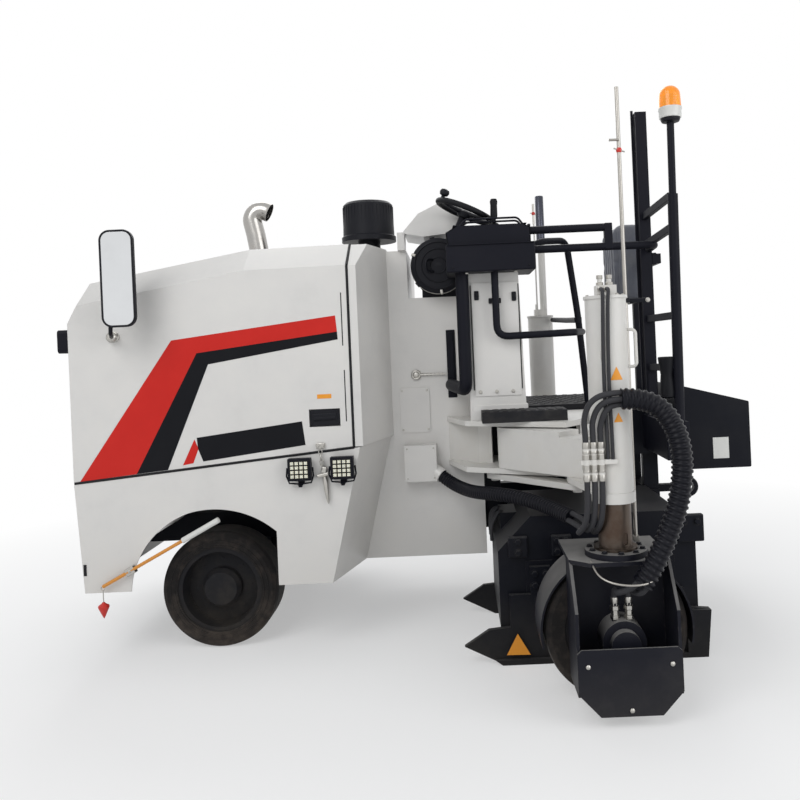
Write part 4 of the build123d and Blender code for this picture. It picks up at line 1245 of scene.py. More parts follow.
@dataclass
class FlashingLamp:
    """Amber dome on a grey collar at the top of its pole."""

    at: Point = (-1047.0, 730.0, 2400.0)

    def build(self) -> None:
        """Build foot, collar and dome."""
        shape = Shape()
        shape.lathe([(28, 0), (40, 4), (44, 12), (44, 22), (0, 22)], self.at, UP, 40, 0)
        shape.lathe([(49, 20), (51, 26), (51, 52), (54, 58), (54, 68), (0, 68)], self.at, UP, 48, 1)
        dome = [(52, 66)] + [(52 - 3 * t, 66 + 60 * t) for t in (0.3, 0.6, 1.0)]
        dome += [
            (49 * math.cos(a), 126 + 45 * math.sin(a))
            for a in map(math.radians, (15, 30, 45, 60, 75, 88))
        ]
        dome.append((0, 171.5))
        shape.lathe(dome, self.at, UP, 48, 2)
        shape.lathe([(20, 70), (20, 118), (12, 130), (0, 131)], self.at, UP, 20, 3)
        shape.piece(
            "flashing_lamp", "chassis", [BLACK_PLASTIC, PLATE_WHITE, AMBER_DOME, ZINC],
            ["beacon"],
        )


# ---------------------------------------------------------------- operator's stand
@dataclass
class Stand:
    """Console, steering wheel, rails, deck mats and the pedestal's door."""

    wheel_at: Point = (-78.0, 560.0, 2056.0)
    tilt: float = -24.0
    box: tuple[float, float, float] = (1745.0, 1874.0, 1962.0)

    def tilted(self, local: Point) -> Vector:
        """Move a point of the flat steering wheel to its tilted place.

        Args:
            local: The point from the wheel's middle.

        Returns:
            The point in the machine's frame.
        """
        return Vector(self.wheel_at) + self.leaning(local)

    def leaning(self, direction: Point) -> Vector:
        """Lean a direction back with the steering column.

        Args:
            direction: The upright direction.

        Returns:
            The leaning one.
        """
        return Matrix.Rotation(math.radians(self.tilt), 3, "Y") @ Vector(direction)

    def steering_wheel(self) -> None:
        """Build the round rim, spokes, hub and spinner knob."""
        shape = Shape()
        rim = [self.tilted((140 * math.cos(a), 140 * math.sin(a), 0)) for a in turns(72)]
        shape.tube(rim, 14.5, 16, closed=True)
        for deg in (30, 150, 270):
            a = math.radians(deg)
            ends = [
                self.tilted((r * math.cos(a), r * math.sin(a), z))
                for r, z in ((24, -8), (70, -8), (110, -5), (138, -1))
            ]
            shape.tube(ends, [13, 9, 8, 9], 12, 1)
        axis = self.leaning(UP)
        shape.lathe([(32, -32), (34, -20), (34, -4), (26, 3), (0, 5)], self.wheel_at, axis, 32, 1)
        shape.lathe(
            [(9, 0), (9, 10), (20, 16), (24, 28), (20, 40), (8, 45), (0, 45.5)], self.tilted((122, 70, 10)),
            axis, 28, 1,
        )
        shape.piece(
            "steering_wheel_rim", "chassis", [WHEEL_GRIP, BLACK_PLASTIC], ["steering_wheel"],
        )

    def console(self) -> None:
        """Build the console's box, its sheet tray, the steering column and the grab wire."""
        low, brow, top = self.box
        shape = Shape()
        shape.box((-183, 610, (low + brow) / 2), (414, 300, brow - low), 7)
        wall = 3.0
        ends = ((-372, brow), (-372, top - 18), (-340, top), (-30, top), (22, top - 30), (12, brow))
        for y in (478, 733):
            shape.plate([(x, y, z) for x, z in ends], (0, wall, 0))
        for a, b in ((ends[0], ends[1]), (ends[1], ends[2]), (ends[3], ends[4]), (ends[4], ends[5])):
            run = Vector((b[0] - a[0], 0, b[1] - a[1])).normalized() * wall
            strip = ((a[0], a[1]), (b[0], b[1]), (b[0] + run.z, b[1] - run.x), (a[0] + run.z, a[1] - run.x))
            shape.plate([(x, 478, z) for x, z in strip], (0, 258, 0))
        shape.box((-180, 607, top - 22), (372, 252, 4), 1)
        for x in (-345, -25):
            shape.box((x, 607, top + 1), (24, 252, 4), 1)
        shape.box((-183, 764, brow - 3), (404, 6, 5), 1)
        axis = self.leaning(UP)
        foot = Vector(self.wheel_at) - axis * 33
        shape.tube([foot - axis * 96, foot - axis * 50, foot - axis * 50, foot], [31, 31, 20, 20], 28)
        for inset in (0, 13):
            y, z = 726 - inset, 1992 - inset
            wire = ((-352 + inset, y, top - 20), (-316, y, z), (-72, y, z), (-20 - inset, y, top - 32))
            shape.tube(bar_line(wire, 16), 5, 10)
        shape.piece("console_box", "chassis", [POWDER_COAT], ["control_console"])

    def controls(self) -> None:
        """Build knobs, buttons, gauges, lever and screws on the console."""
        shape = Shape()
        z = self.box[2] - 20
        for i, x in enumerate((-320, -285, -250)):
            shape.lathe([(11, 0), (11, 4), (8, 7), (8, 14), (0, 15)], (x, 520, z), UP, 20, 0 if i else 2)
        for x in (-130, -95, -60):
            shape.lathe([(15, 0), (15, 6), (12, 9), (0, 9)], (x, 520, z), UP, 28, 0)
        shape.lathe(
            [(32, 0), (30, 8), (33, 12), (26, 20), (28, 24), (20, 32), (16, 34), (0, 34)], (-206, 690, z), UP,
            28, 1,
        )
        shape.lathe(
            [(9, 0), (9, 46), (15.5, 52), (17, 66), (16, 112), (18, 130), (14, 142), (0, 144)],
            (-208, 690, z + 4), (-0.02, 0, 1), 24, 1,
        )
        for x in (-360, -6):
            shape.hex_bolt((x, 760, 1766), (0, 1, 0), 8, 3, 0)
        for x in (-300, -70):
            shape.lathe([(9, 0), (8, 5), (0, 6)], (x, 700, self.box[0]), (0, 0, -1), 16, 3)
        shape.piece(
            "console_controls", "chassis", [BLACK_PLASTIC, WHEEL_GRIP, RED_PAINT, ZINC],
        )

    def rails(self) -> None:
        """Bend the handrails round the stand, and the thick tube that braces the console."""
        shape = Shape()
        shape.tube(
            bar_line(((-46, 676, 1748), (-44, 676, 1196), (24, 420, 1208), (26, 372, 1208)), 52, 8), 31, 28,
        )
        post = (-394, 485, 1872), (-440, 485, 1905), (-600, 300, 1928), (-645, 300, 1540), (-690, 240, 1062)
        for corners, bend, r in (
            (((-200, 690, 1748), (-200, 690, 1440), (-560, 690, 1446), (-667, 286, 1450)), 58, 17),
            (post, 62, 17),
            (((-645, 300, 1512), (-637, -60, 1522), (-622, -552, 1541)), 40, 15),
            (((-388, 600, 1853), (-700, 600, 1853), (-985, 600, 1853), (-1000, 420, 1853)), 40, 19),
        ):
            shape.tube(bar_line(corners, bend), r, 20)
        # the loop is mitred from square-cut tube ends
        shape.tube([(-384, 600, 1946), (-742, 600, 1946)], 19, 20)
        shape.box((-760, 600, 1902), (38, 38, 126), 4)
        shape.box((-378, 600, 1900), (14, 60, 150), 3)
        shape.lathe([(26, 0), (26, 5), (18, 7), (17, 7)], (-690, 240, 1075), UP, 24)
        shape.lathe([(20, -14), (20, 14)], (-645, 300, 1512), UP, 20)
        shape.piece("handrail_tubes", "chassis", [POWDER_COAT], ["handrails"])

    def mast(self) -> None:
        """Build the channel mast, lamp pole, struts, cross bar and the cup at the pole's foot."""
        shape = Shape()
        x0, x1, y0, y1 = -1021.0, -965.0, 345.0, 395.0
        channel = (
            (x0, y1), (x1, y1), (x1, y0), (x1 - 6, y0),
            (x1 - 6, y1 - 7), (x0 + 6, y1 - 7), (x0 + 6, y0), (x0, y0),
        )
        shape.plate([(x, y, 830) for x, y in channel], (0, 0, 1724))
        strip = ((x1 + 1, y0), (x1 + 13, y0), (x1 + 13, y0 + 8), (x1 + 1, y0 + 8))
        shape.plate([(x, y, 1120) for x, y in strip], (0, 0, 1452))
        shape.box(((x0 + x1) / 2, y1 + 3, 1150), (42, 6, 150), 2)
        shape.box((-1017, 512, 920), (106, 464, 178), 3)
        pole_top, pole_foot = Vector((-1046, 730, 2402)), Vector((-1030, 730, 1010))
        neck = pole_foot.lerp(pole_top, 0.76)
        shape.tube([pole_foot, neck, neck, pole_top], [24, 24, 17, 17], 26)
        for z, rise in ((2020, 42), (1875, 40)):
            shape.beam((-990, 394, z), (-1036, 712, z + rise), 24, 36)
        for z in (1255, 1500):
            shape.beam((-992, 394, z), (-1034, 712, z + 4), 30, 34)
        shape.beam((-1043, -110, 1805), (-1043, 396, 1805), 44, 50)
        shape.beam((-1043, -90, 1062), (-1043, -90, 1062.1), 40, 40)
        shape.box((-1043, -90, 1420), (40, 40, 716), 3)
        shape.box((-1030, 372, 1805), (26, 46, 60), 3)
        cup = [
            (26, 0), (34, 6), (35, 40), (31, 86), (29, 110), (33, 140), (38, 178), (39, 188), (35, 192),
            (30, 186), (28, 120), (0, 118),
        ]
        shape.lathe(cup, (-984, 712, 1120), UP, 32, 1)
        for z in (1150, 1270):
            shape.box((-1004, 722, z), (36, 30, 22), 3)
        shape.piece("mast_and_pole", "chassis", [POWDER_COAT, WHEEL_GRIP], ["post_frame"])

    def pedestal(self) -> None:
        """Build the pedestal's door latches, clips and base bolts."""
        shape = Shape()
        for x, z in ((-112, 1640), (-290, 1630)):
            shape.box((x, 648, z), (22, 12, 44), 4)
            shape.box((x, 655, z + 4), (12, 10, 20), 3)
        shape.box((-198, 651, 1612), (60, 14, 26), 4)
        for x in (-112, -190, -268):
            shape.hex_bolt((x, 645.2, 1180), (0, 1, 0), 13, 5, 1)
        shape.piece("pedestal_latches", "chassis", [BLACK_PLASTIC, ZINC])
        strip = Shape()
        for x in (-84, -312):
            strip.box((x, 645.4, 1440), (5, 3, 500), 1)
        strip.piece("pedestal_door_seal", "chassis", [SEAL_RUBBER])

    def deck(self) -> None:
        """Lay tread bars on the deck and on the step."""
        shape = Shape()
        z = 1075.2
        for i in range(15):
            for k in range(12):
                x, y = -1020 + i * 60 + (k % 2) * 30, -430 + k * 58
                if y > 255 or x > -150:
                    continue
                shape.box((x, y, z + 0.8), (34, 7, 3), 1.2, (0, 0, 45 if (i + k) % 2 else -45))
        for i in range(9):
            shape.box((-470 + i * 42, 722, 1096), (26, 120, 3.4), 1.5)
        shape.piece("deck_tread", "chassis", [DECK_COAT])

    def build(self) -> None:
        """Build everything at the operator's stand."""
        for part in (
            self.steering_wheel, self.console, self.controls, self.rails, self.mast, self.pedestal, self.deck,
        ):
            part()


@dataclass
class BackRest:
    """The padded back rest, blown up as cloth and then sewn into upright channels."""

    low: Point = (-1014.0, -112.0, 1598.0)
    high: Point = (-866.0, 272.0, 2012.0)
    channels: int = 6
    cap_mm: float = 7.0

    def build(self) -> None:
        """Build, inflate and sew the pad."""
        bm = bmesh.new()
        bmesh.ops.create_cube(bm, size=1.0)
        low, high = row(self.low), row(self.high)
        size = high - low
        bmesh.ops.scale(bm, vec=size, verts=bm.verts)
        bmesh.ops.bevel(bm, geom=list(bm.edges), offset=0.045, segments=5, affect="EDGES", profile=0.55)
        bmesh.ops.translate(bm, vec=(low + high) / 2, verts=bm.verts)
        data = bpy.data.meshes.new("back_rest_pad")
        bm.to_mesh(data)
        bm.free()
        pad = show("back_rest_pad", data)
        remesh = pad.modifiers.new("remesh", "REMESH")
        remesh.mode = "VOXEL"
        remesh.voxel_size = 0.007
        self.freeze(pad)
        self.inflate(pad)
        self.sew(pad, low, high)
        for polygon in pad.data.polygons:
            polygon.use_smooth = True
        pad.data.materials.append(LEATHERCLOTH.material())
        attach(pad, "chassis", ["backrest"])
        piping = Shape()
        x, (_, y0, z0), (_, y1, z1) = self.low[0] + 18, self.low, self.high
        loop = (
            (y0 + 40, z0 + 2), (y1 - 40, z0 + 2), (y1 - 12, z0 + 12), (y1 - 1, z0 + 44),
            (y1 - 1, z1 - 44), (y1 - 12, z1 - 12), (y1 - 40, z1 - 2), (y0 + 40, z1 - 2),
            (y0 + 12, z1 - 12), (y0 + 1, z1 - 44), (y0 + 1, z0 + 44), (y0 + 12, z0 + 12),
        )
        piping.tube([(x, y, z) for y, z in loop], 4, 8, closed=True)
        piping.piece("back_rest_piping", "chassis", [SEAL_RUBBER])

    @staticmethod
    def freeze(obj: bpy.types.Object) -> None:
        """Apply the object's modifiers to its mesh.

        Args:
            obj: The object.
        """
        done = bpy.data.meshes.new_from_object(obj.evaluated_get(bpy.context.evaluated_depsgraph_get()))
        obj.modifiers.clear()
        obj.data = done

    def inflate(self, pad: bpy.types.Object) -> None:
        """Blow the pad up as cloth, with no gravity and a capped stretch.

        Args:
            pad: The remeshed pad.
        """
        before = [v.co.copy() for v in pad.data.vertices]
        cloth = pad.modifiers.new("cloth", "CLOTH")
        cloth.settings.use_pressure = True
        cloth.settings.uniform_pressure_force = 4.0
        cloth.settings.quality = 4
        cloth.settings.effector_weights.gravity = 0.0
        scene = bpy.context.scene
        for step in range(1, 21):
            scene.frame_set(step)
        self.freeze(pad)
        scene.frame_set(1)
        for v, old in zip(pad.data.vertices, before):
            move = v.co - old
            if move.length > self.cap_mm * MM:
                v.co = old + move.normalized() * self.cap_mm * MM

    def sew(self, pad: bpy.types.Object, low: Vector, high: Vector) -> None:
        """Pull the front in along upright seams and wrinkle it slightly.

        Args:
            pad: The pad.
            low: Its lowest corner.
            high: Its highest corner.
        """
        pitch = (high.y - low.y - 0.06) / self.channels
        for v in pad.data.vertices:
            front = max(0.0, min(1.0, (v.co.x - low.x - 0.03) / 0.06))
            below, above = v.co.z - low.z, high.z - v.co.z
            inside = max(0.0, min(1.0, (below - 0.02) / 0.03)) * max(0.0, min(1.0, (above - 0.02) / 0.03))
            phase = (v.co.y - low.y - 0.03) / pitch
            gap = abs(phase - round(phase)) * pitch
            v.co.x -= front * inside * 0.012 * math.exp(-((gap / 0.008) ** 2))
            v.co.x += front * 0.0025 * noise.noise(v.co * 22)


# ---------------------------------------------------------------- hoses
@dataclass(frozen=True)
class Hose:
    """One hose or sleeve.

    Attributes:
        name: Piece name.
        route: Points that it bends round, mm.
        diameter: Outside diameter, mm.
        node: The CAD node it stands for.
        bodies: The body it rides on; when a second is listed, the hose is taken off the first and rides on
            none, and the second is not read.
        spiral_mm: Pitch of a spiral sleeve, 0 for a plain hose.
    """

    name: str
    route: Sequence[Point]
    diameter: float
    node: str
    bodies: tuple[str, ...]
    spiral_mm: float = 0.0

    def build(self) -> None:
        line = smooth_line(self.route)
        if self.spiral_mm:
            obj = self.sleeve(line)
        else:
            shape = Shape()
            shape.tube(line, self.diameter / 2, 16)
            obj = shape.piece(self.name, self.bodies[0], [HOSE_RUBBER], [self.node])
        if len(self.bodies) > 1:
            obj.parent = None
            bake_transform(obj)

    def sleeve(self, line: list[Vector]) -> bpy.types.Object:
        """Build the spiral-wrapped sleeve.

        Args:
            line: Its middle line.

        Returns:
            The sleeve.
        """
        step = self.spiral_mm / 6
        dense, left = [line[0]], step
        for a, b in zip(line, line[1:]):
            run = (b - a).length
            pos = left
            while pos < run:
                dense.append(a.lerp(b, pos / run))
                pos += step
            left = pos - run
        dense.append(line[-1])
        r, ridge = self.diameter / 2, 2.6

        def radius(i: int, angle: float) -> float:
            """Radius at a point of the line, with the flat-topped ridge of the spiral."""
            wave = math.sin(angle + math.tau * i * step / self.spiral_mm)
            return r - ridge + ridge * max(-1.0, min(1.0, wave * 2.2))

        shape = Shape()
        shape.sweep(dense, radius, 28)
        return shape.piece(self.name, self.bodies[0], [SPIRAL_SLEEVE], [self.node])


# Points that routes and fittings share, mm.
SPIGOT_IN, SPIGOT_OUT = Vector((150, 374, 790)), Vector((94, 407, 750))
LOWER_LAST, LEG_HOSE_END = Vector((-402, 1062, 692)), Vector((-448, 1160, 682))
COUPLER_X, COUPLER_Y, COUPLER_Z = (-524.0, -496.0, -468.0), 1466.0, (890.0, 1020.0)
SLEEVE_TOP = Vector((-600, 1502, 1186))
UPPER_LAST, SLEEVE_END = Vector((-684, 1554, 590)), Vector((-640, 1546, 520))
HOSE, SLEEVE_LOWER, SLEEVE_UPPER, BARREL_LINE = 22.0, 64.0, 80.0, 14.0  # outside diameters
MOTOR_PORTS, CAP_PORTS = (-26, 26), (-18, 18)  # ports either side of the leg's axis


@dataclass
class Hydraulics:
    """Hoses, sleeves, couplers and fittings of the swinging leg."""

    hoses: list[Hose] = field(default_factory=list)

    def lower(self) -> None:
        """Route the sleeve from the junction box to the leg."""
        out = (SPIGOT_OUT - SPIGOT_IN).normalized()
        route = (
            SPIGOT_OUT, SPIGOT_OUT + out * 62, (-12, 520, 700), (-66, 640, 704), (-148, 758, 716),
            (-240, 862, 720), (-330, 958, 708), LOWER_LAST, LEG_HOSE_END,
        )
        self.hoses.append(Hose("sleeve_lower", route, SLEEVE_LOWER, "hose_lower", ("chassis", "arm"), 17))

    def leg(self) -> None:
        """Route the three hoses through their couplers and into the upper sleeve."""
        along = (LEG_HOSE_END - LOWER_LAST).normalized()
        across = along.cross(Vector(UP)).normalized()
        rise = across.cross(along)
        for n, (x, a, b) in enumerate(zip(COUPLER_X, (-18, 0, 18), (-9, 18, -9))):
            start = LEG_HOSE_END + across * a + rise * b
            route = (
                start, start + along * 110, (x + 28 + a * 0.3, 1375, 668 + b * 0.3), (x + 10, 1446, 712),
                (x, COUPLER_Y, 795), (x, COUPLER_Y, COUPLER_Z[0]),
            )
            self.hoses.append(Hose(f"leg_hose_{n}", route, HOSE, "hose_trio", ("arm", "leg_left")))
        for n, (x, p1, p2, p3, dy, dz) in enumerate(
            (
                (COUPLER_X[0], (-523, 1470, 1085), (-539, 1490, 1140), -566, -6, -20),
                (COUPLER_X[1], (-494, 1470, 1100), (-512, 1486, 1155), -550, 8, 0),
                (COUPLER_X[2], (-464, 1470, 1115), (-482, 1488, 1175), -535, 2, 23),
            )
        ):
            end = SLEEVE_TOP + Vector((0, dy, dz))
            route = (
                (x, COUPLER_Y, COUPLER_Z[1]), (x, COUPLER_Y, COUPLER_Z[1] + 35), p1, p2, (p3, end.y, end.z),
                end,
            )
            self.hoses.append(Hose(f"arch_hose_{n}", route, HOSE, "hose_trio", ("leg_left",)))
        for n, (x, y, end_x) in enumerate(((-549, 1466, -556), (-567, 1470, -578))):
            route = (
                (x, y, 962), (x, y, 1060), (x + 3, y + 1, 1180), (x + 2, y + 1, 1345), (x - 2, y + 2, 1470),
                (x - 4, y + 9, 1555), (end_x + 2, y + 5, 1590), (end_x, y - 24, 1597), (end_x, 1410, 1597),
            )
            self.hoses.append(Hose(f"barrel_line_{n}", route, BARREL_LINE, "hose_lines", ("leg_left",)))

    def wheel(self) -> None:
        """Route the upper sleeve and the two hoses of the wheel motor."""
        route = (
            SLEEVE_TOP, (-668, 1502, 1186), (-750, 1506, 1146), (-802, 1512, 1050), (-812, 1520, 930),
            (-786, 1532, 800), (-738, 1546, 690), UPPER_LAST, SLEEVE_END,
        )
        self.hoses.append(
            Hose("sleeve_upper", route, SLEEVE_UPPER, "hose_upper", ("leg_left", "column_left"), 21)
        )
        along = (SLEEVE_END - UPPER_LAST).normalized()
        x = LEG[0]
        for n, (dx, a) in enumerate(zip(MOTOR_PORTS, (-16, 16))):
            start = SLEEVE_END + Vector((a, 0, -a * along.x / along.z))
            port = Vector((x + dx, 1440, 429.5))
            route = (
                start, start + along * 30, (x + dx + a * 0.7, 1515, 477), (x + dx, 1458, 478),
                port + Vector((0, 0, 28)), port,
            )
            self.hoses.append(Hose(f"motor_hose_{n}", route, HOSE, "hose_motor", ("column_left",)))

    def fittings(self) -> None:
        """Build the crimped ferrules, couplers and manifold nuts."""
        shape = Shape()
        crimp = [(12.5, 0), (13.4, 3), (13.4, 24), (11.5, 27), (11.5, 30), (13.4, 33), (13.4, 44), (12, 46)]
        for x in COUPLER_X:
            for z, up in ((COUPLER_Z[0] - 8, 1), (COUPLER_Z[1] + 8, -1)):
                shape.lathe(crimp, (x, COUPLER_Y, z), (0, 0, up), 20)
            for z in (934, 972):
                shape.lathe([(15, -9), (15.6, -7), (15.6, 7), (15, 9)], (x, COUPLER_Y, z), UP, 6, 0, False)
        shape.piece("coupler_nuts", "leg_left", [ZINC])
        top = Shape()
        x, y = LEG
        for dx in CAP_PORTS:
            top.lathe(
                [(14, 0), (14, 12), (9, 14), (9, 24), (12, 26), (12, 40), (0, 41)], (x + dx, y, 1612), UP, 6,
                0, False,
            )
        for end_x in (-556, -578):
            top.lathe([(9.5, 0), (9.5, 14), (8, 16)], (end_x, 1410, 1597), (0, 1, 0), 16)
        for a in turns(6):
            top.hex_bolt((x + 68 * math.cos(a), y + 68 * math.sin(a), 1572), UP, 10, 5)
        top.piece("barrel_fittings", "leg_left", [ZINC])
        motor = Shape()
        for dx in MOTOR_PORTS:
            at = (x + dx, 1440, 360)
            motor.lathe(
                [(17, 0), (17, 14), (14, 16), (14, 34), (18, 36), (18, 50), (13, 53), (13, 66)], at, UP, 6, 0,
                False,
            )
            motor.lathe([(12.5, 60), (13.6, 63), (13.6, 78), (12, 82)], at, UP, 20)
        motor.piece("motor_fittings", "column_left", [ZINC])

    def build(self) -> None:
        """Route and build every hose and fitting."""
        self.lower()
        self.leg()
        self.wheel()
        for hose in self.hoses:
            hose.build()
        self.fittings()


# ---------------------------------------------------------------- leg, drum and small fittings
@dataclass
class LegFittings:
    """Flange bolts, cover bolts, guide hoop and blank signs of the leg."""

    leg: tuple[float, float] = LEG
    fixed: tuple[float, float] = FIXED_LEG

    def yoke_bolts(self) -> None:
        """Bolt down both flanges and motor covers."""
        for (x, y), (side, word) in zip((self.leg, self.fixed), SIDES):
            shape = Shape()
            for a in turns(10, 0.5):
                shape.hex_bolt((x + 100 * math.cos(a), y + 100 * math.sin(a), FLANGE_TOP), UP, 17, 8, 1)
            for dx, z in ((-152, 232), (152, 232), (0, 70)):
                shape.lathe([(9, 0), (8.6, 3), (5, 6), (0, 7)], (x + dx, y + side * 178, z), (0, side, 0), 18)
            paint = [(64.4, -1), (64.4, 0.5), (118.6, 0.5), (118.6, -22.2), (117, -22.2)]
            shape.lathe(paint, (x, y, FLANGE_TOP), UP, 64, 2, False)
            shape.piece(f"yoke_bolts_{word}", f"column_{word}", [ZINC, BLACK_ENAMEL, YOKE_PAINT])

    def rod_guide(self) -> None:
        """Hold the height rod beside the barrel's cap."""
        x, y = self.leg[0] - 100, self.leg[1] - 100
        shape = Shape()
        shape.box((x + 2, y - 20, 1556), (204, 10, 18), 2)
        shape.box((x + 92, y + 4, 1556), (26, 56, 16), 2)
        shape.lathe([(10.5, -9), (17, -9), (17, 9), (10.5, 9), (10.5, -9)], (x, y, 1556), UP, 28, 0, False)
        shape.hex_bolt((x - 92, y - 15, 1556), (0, 1, 0), 13, 7, 1)
        shape.piece("rod_guide", "leg_left", [BLACK_ENAMEL, ZINC])

    def hoop(self) -> None:
        """Bend the steel hoop that guides the sleeve into the yoke."""
        x, y = self.leg
        shape = Shape()
        loop = (
            (112, 96, 589), (108, 150, 560), (70, 196, 538), (0, 214, 528), (-70, 208, 530), (-118, 176, 548),
            (-128, 110, 588),
        )
        shape.tube(smooth_line([(x + dx, y + dy, z) for dx, dy, z in loop], 6), 4, 10)
        shape.piece("guide_hoop", "column_left", [BARE_ROD])

    def wrapped(self, shape: Shape, z: float, half: float, rows: int = 10) -> None:
        """Lay a plain triangle of film round the barrel.

        Args:
            shape: Where its faces go.
            z: Height of its middle.
            half: Half of its width.
            rows: Strips from foot to tip.
        """
        r, middle = 79.2, math.radians(102)
        verts = []
        for i in range(rows + 1):
            for k in range(rows + 1):
                a = middle + (2 * k / rows - 1) * (1.002 - i / rows) * half / r
                verts.append(
                    (
                        self.leg[0] + r * math.cos(a), self.leg[1] + r * math.sin(a),
                        z + (i / rows * 2 - 0.85) * half,
                    )
                )
        step = rows + 1
        faces = [
            (i * step + k, i * step + k + 1, (i + 1) * step + k + 1, (i + 1) * step + k)
            for i in range(rows)
            for k in range(rows)
        ]
        shape.add(verts, faces, 0, True)

    def indicators(self) -> None:
        """Slide the red markers onto both height rods, and cap the far one."""
        marker = [(0, -11), (9, -9), (12, 0), (9, 9), (0, 11)]
        x, y = self.leg[0] - 100, self.leg[1] - 100
        near = Shape()
        near.lathe(marker, (x, y, 2150), UP, 20)
        near.tube([(x - 22, y + 4, 2142), (x + 22, y + 4, 2158)], 3, 8, 1)
        near.piece("height_marker_left", "column_left", [RED_PAINT, ZINC])
        far = Shape()
        x, y = self.fixed
        far.tube([(x + 20, y + 50, 2150), (x + 20, y + 50, 2278)], 7, 12, 1)
        far.lathe(marker, (x + 20, y + 50, 2218), UP, 20)
        far.tube([(x + 4, y + 52, 2212), (x + 40, y + 52, 2222)], 3, 8, 1)
        far.piece("height_marker_right", "chassis", [RED_PAINT, ZINC])
        guard = Shape()
        guard.lathe(
            [(24, 0), (27, 3), (27, 300), (24, 304), (23, 304), (0, 300)], (x - 30, y - 40, 2038), UP, 32,
        )
        guard.piece("height_tube_right", "chassis", [DARK_STEEL])

    def signs(self) -> None:
        """Place plain triangles and plates, with nothing on them."""
        barrel = Shape()
        for z, half in ((1275, 25), (1112, 18)):
            self.wrapped(barrel, z, half)
        barrel.piece("plain_triangles_barrel", "leg_left", [ORANGE_VINYL])
        skid = Shape()
        skid.plate([(-272, 951.2, 44), (-168, 951.2, 46), (-219, 951.2, 138)], (0, 0.8, 0))
        skid.piece("plain_triangle_skid", "skid_left", [ORANGE_VINYL])
        plates = Shape()
        plates.box((-1293, 500.8, 845), (78, 1.6, 104), 0.4)
        plates.piece("plain_plate_box", "chassis", [PLATE_WHITE])
        label = Shape()
        label.box((615, 750.4, 1199), (66, 0.8, 20), 0.2)
        label.piece("plain_label_hood", "hood", [ORANGE_VINYL])

    def build(self) -> None:
        """Build the leg's fittings."""
        for part in (self.yoke_bolts, self.hoop, self.rod_guide, self.indicators, self.signs):
            part()


@dataclass
class MiddleFittings:
    """Cover screws, gas strut, door channel and pin on the middle body's left side."""

    waist: float = 350.0

    def build(self) -> None:
        """Build the middle body's fittings."""
        shape = Shape()
        for x in (155, 283):
            for z in (985, 1185):
                shape.lathe([(6, 0), (5.5, 2.5), (0, 3.2)], (x, self.waist + 5, z), (0, 1, 0), 14)
        for x in (132, 266):
            for z in (745, 895):
                shape.lathe([(5, 0), (4.5, 2), (0, 2.6)], (x, 424, z), (0, 1, 0), 12)
        shape.tube(ring((206, 358, 1265), 20, 24), 6.5, 10, closed=True)
        shape.lathe([(15, 0), (15, 6), (8, 9), (0, 9)], (206, 351, 1265), (0, 1, 0), 20)
        shape.tube([(186, 360, 1265), (120, 362, 1264), (50, 364, 1264)], 4.5, 10)
        for k in range(6):
            shape.lathe([(7, -3), (7, 3)], (170 - k * 20, 361, 1264.5), (1, 0, 0), 12)
        shape.piece("middle_body_screws", "chassis", [ZINC])
        channel = Shape()
        channel.box((22, 353, 1315), (46, 8, 348), 3)
        channel.box((22, 360, 1315), (28, 8, 320), 3)
        channel.piece("door_channel", "chassis", [POWDER_COAT])


@dataclass
class DrumFittings:
    """Bolts of the side plates, guide blocks and the lines on the housing's slope."""

    plate_face: float = 931.2
    block_middle: float = 915.0
    block_face: float = 930.0

    def build(self) -> None:
        """Build the milling unit's fittings."""
        guides = Shape()
        for x in (-354, -306, -894, -846):
            for z in (340, 390):
                guides.hex_bolt((x, self.plate_face, z), (0, 1, 0), 24, 11)
        guides.piece("guide_bolts", "skid_left", [BLACK_ENAMEL])
        blocks = Shape()
        # the first two stand clear of the side plate's lug, which slides up between them
        for x, z, size in (
            (-238, 508, (86, 30, 90)), (-430, 508, (90, 30, 90)), (-1000, 560, (120, 30, 120)),
        ):
            blocks.box((x, self.block_middle, z), size, 6)
        for x, z in ((x, z) for x in (-238, -410, -450) for z in (484, 532)):
            blocks.hex_bolt((x, self.block_face, z), (0, 1, 0), 24, 10)
        for x in (-1030, -970):
            blocks.hex_bolt((x, self.block_face, 590), (0, 1, 0), 24, 10)
        blocks.piece("housing_blocks", "chassis", [BLACK_ENAMEL])
        lines = Shape()
        for k, (y, drop) in enumerate(((420, 0), (470, 10), (520, -8), (570, 16))):
            route = [
                (-230 + k * 6, y, 560), (-190, y + 6, 590 + drop), (-150 - k * 4, y + 10, 575),
                (-135, y + 8, 520), (-138, y, 470 - drop),
            ]
            lines.tube(smooth_line(route, 8), 9, 12)
            lines.lathe([(13, -14), (13.5, 14)], (-230 + k * 6, y, 560), (0.5, 0, 0.6), 6, 1, False)
        lines.piece("housing_lines", "chassis", [HOSE_RUBBER, ZINC])


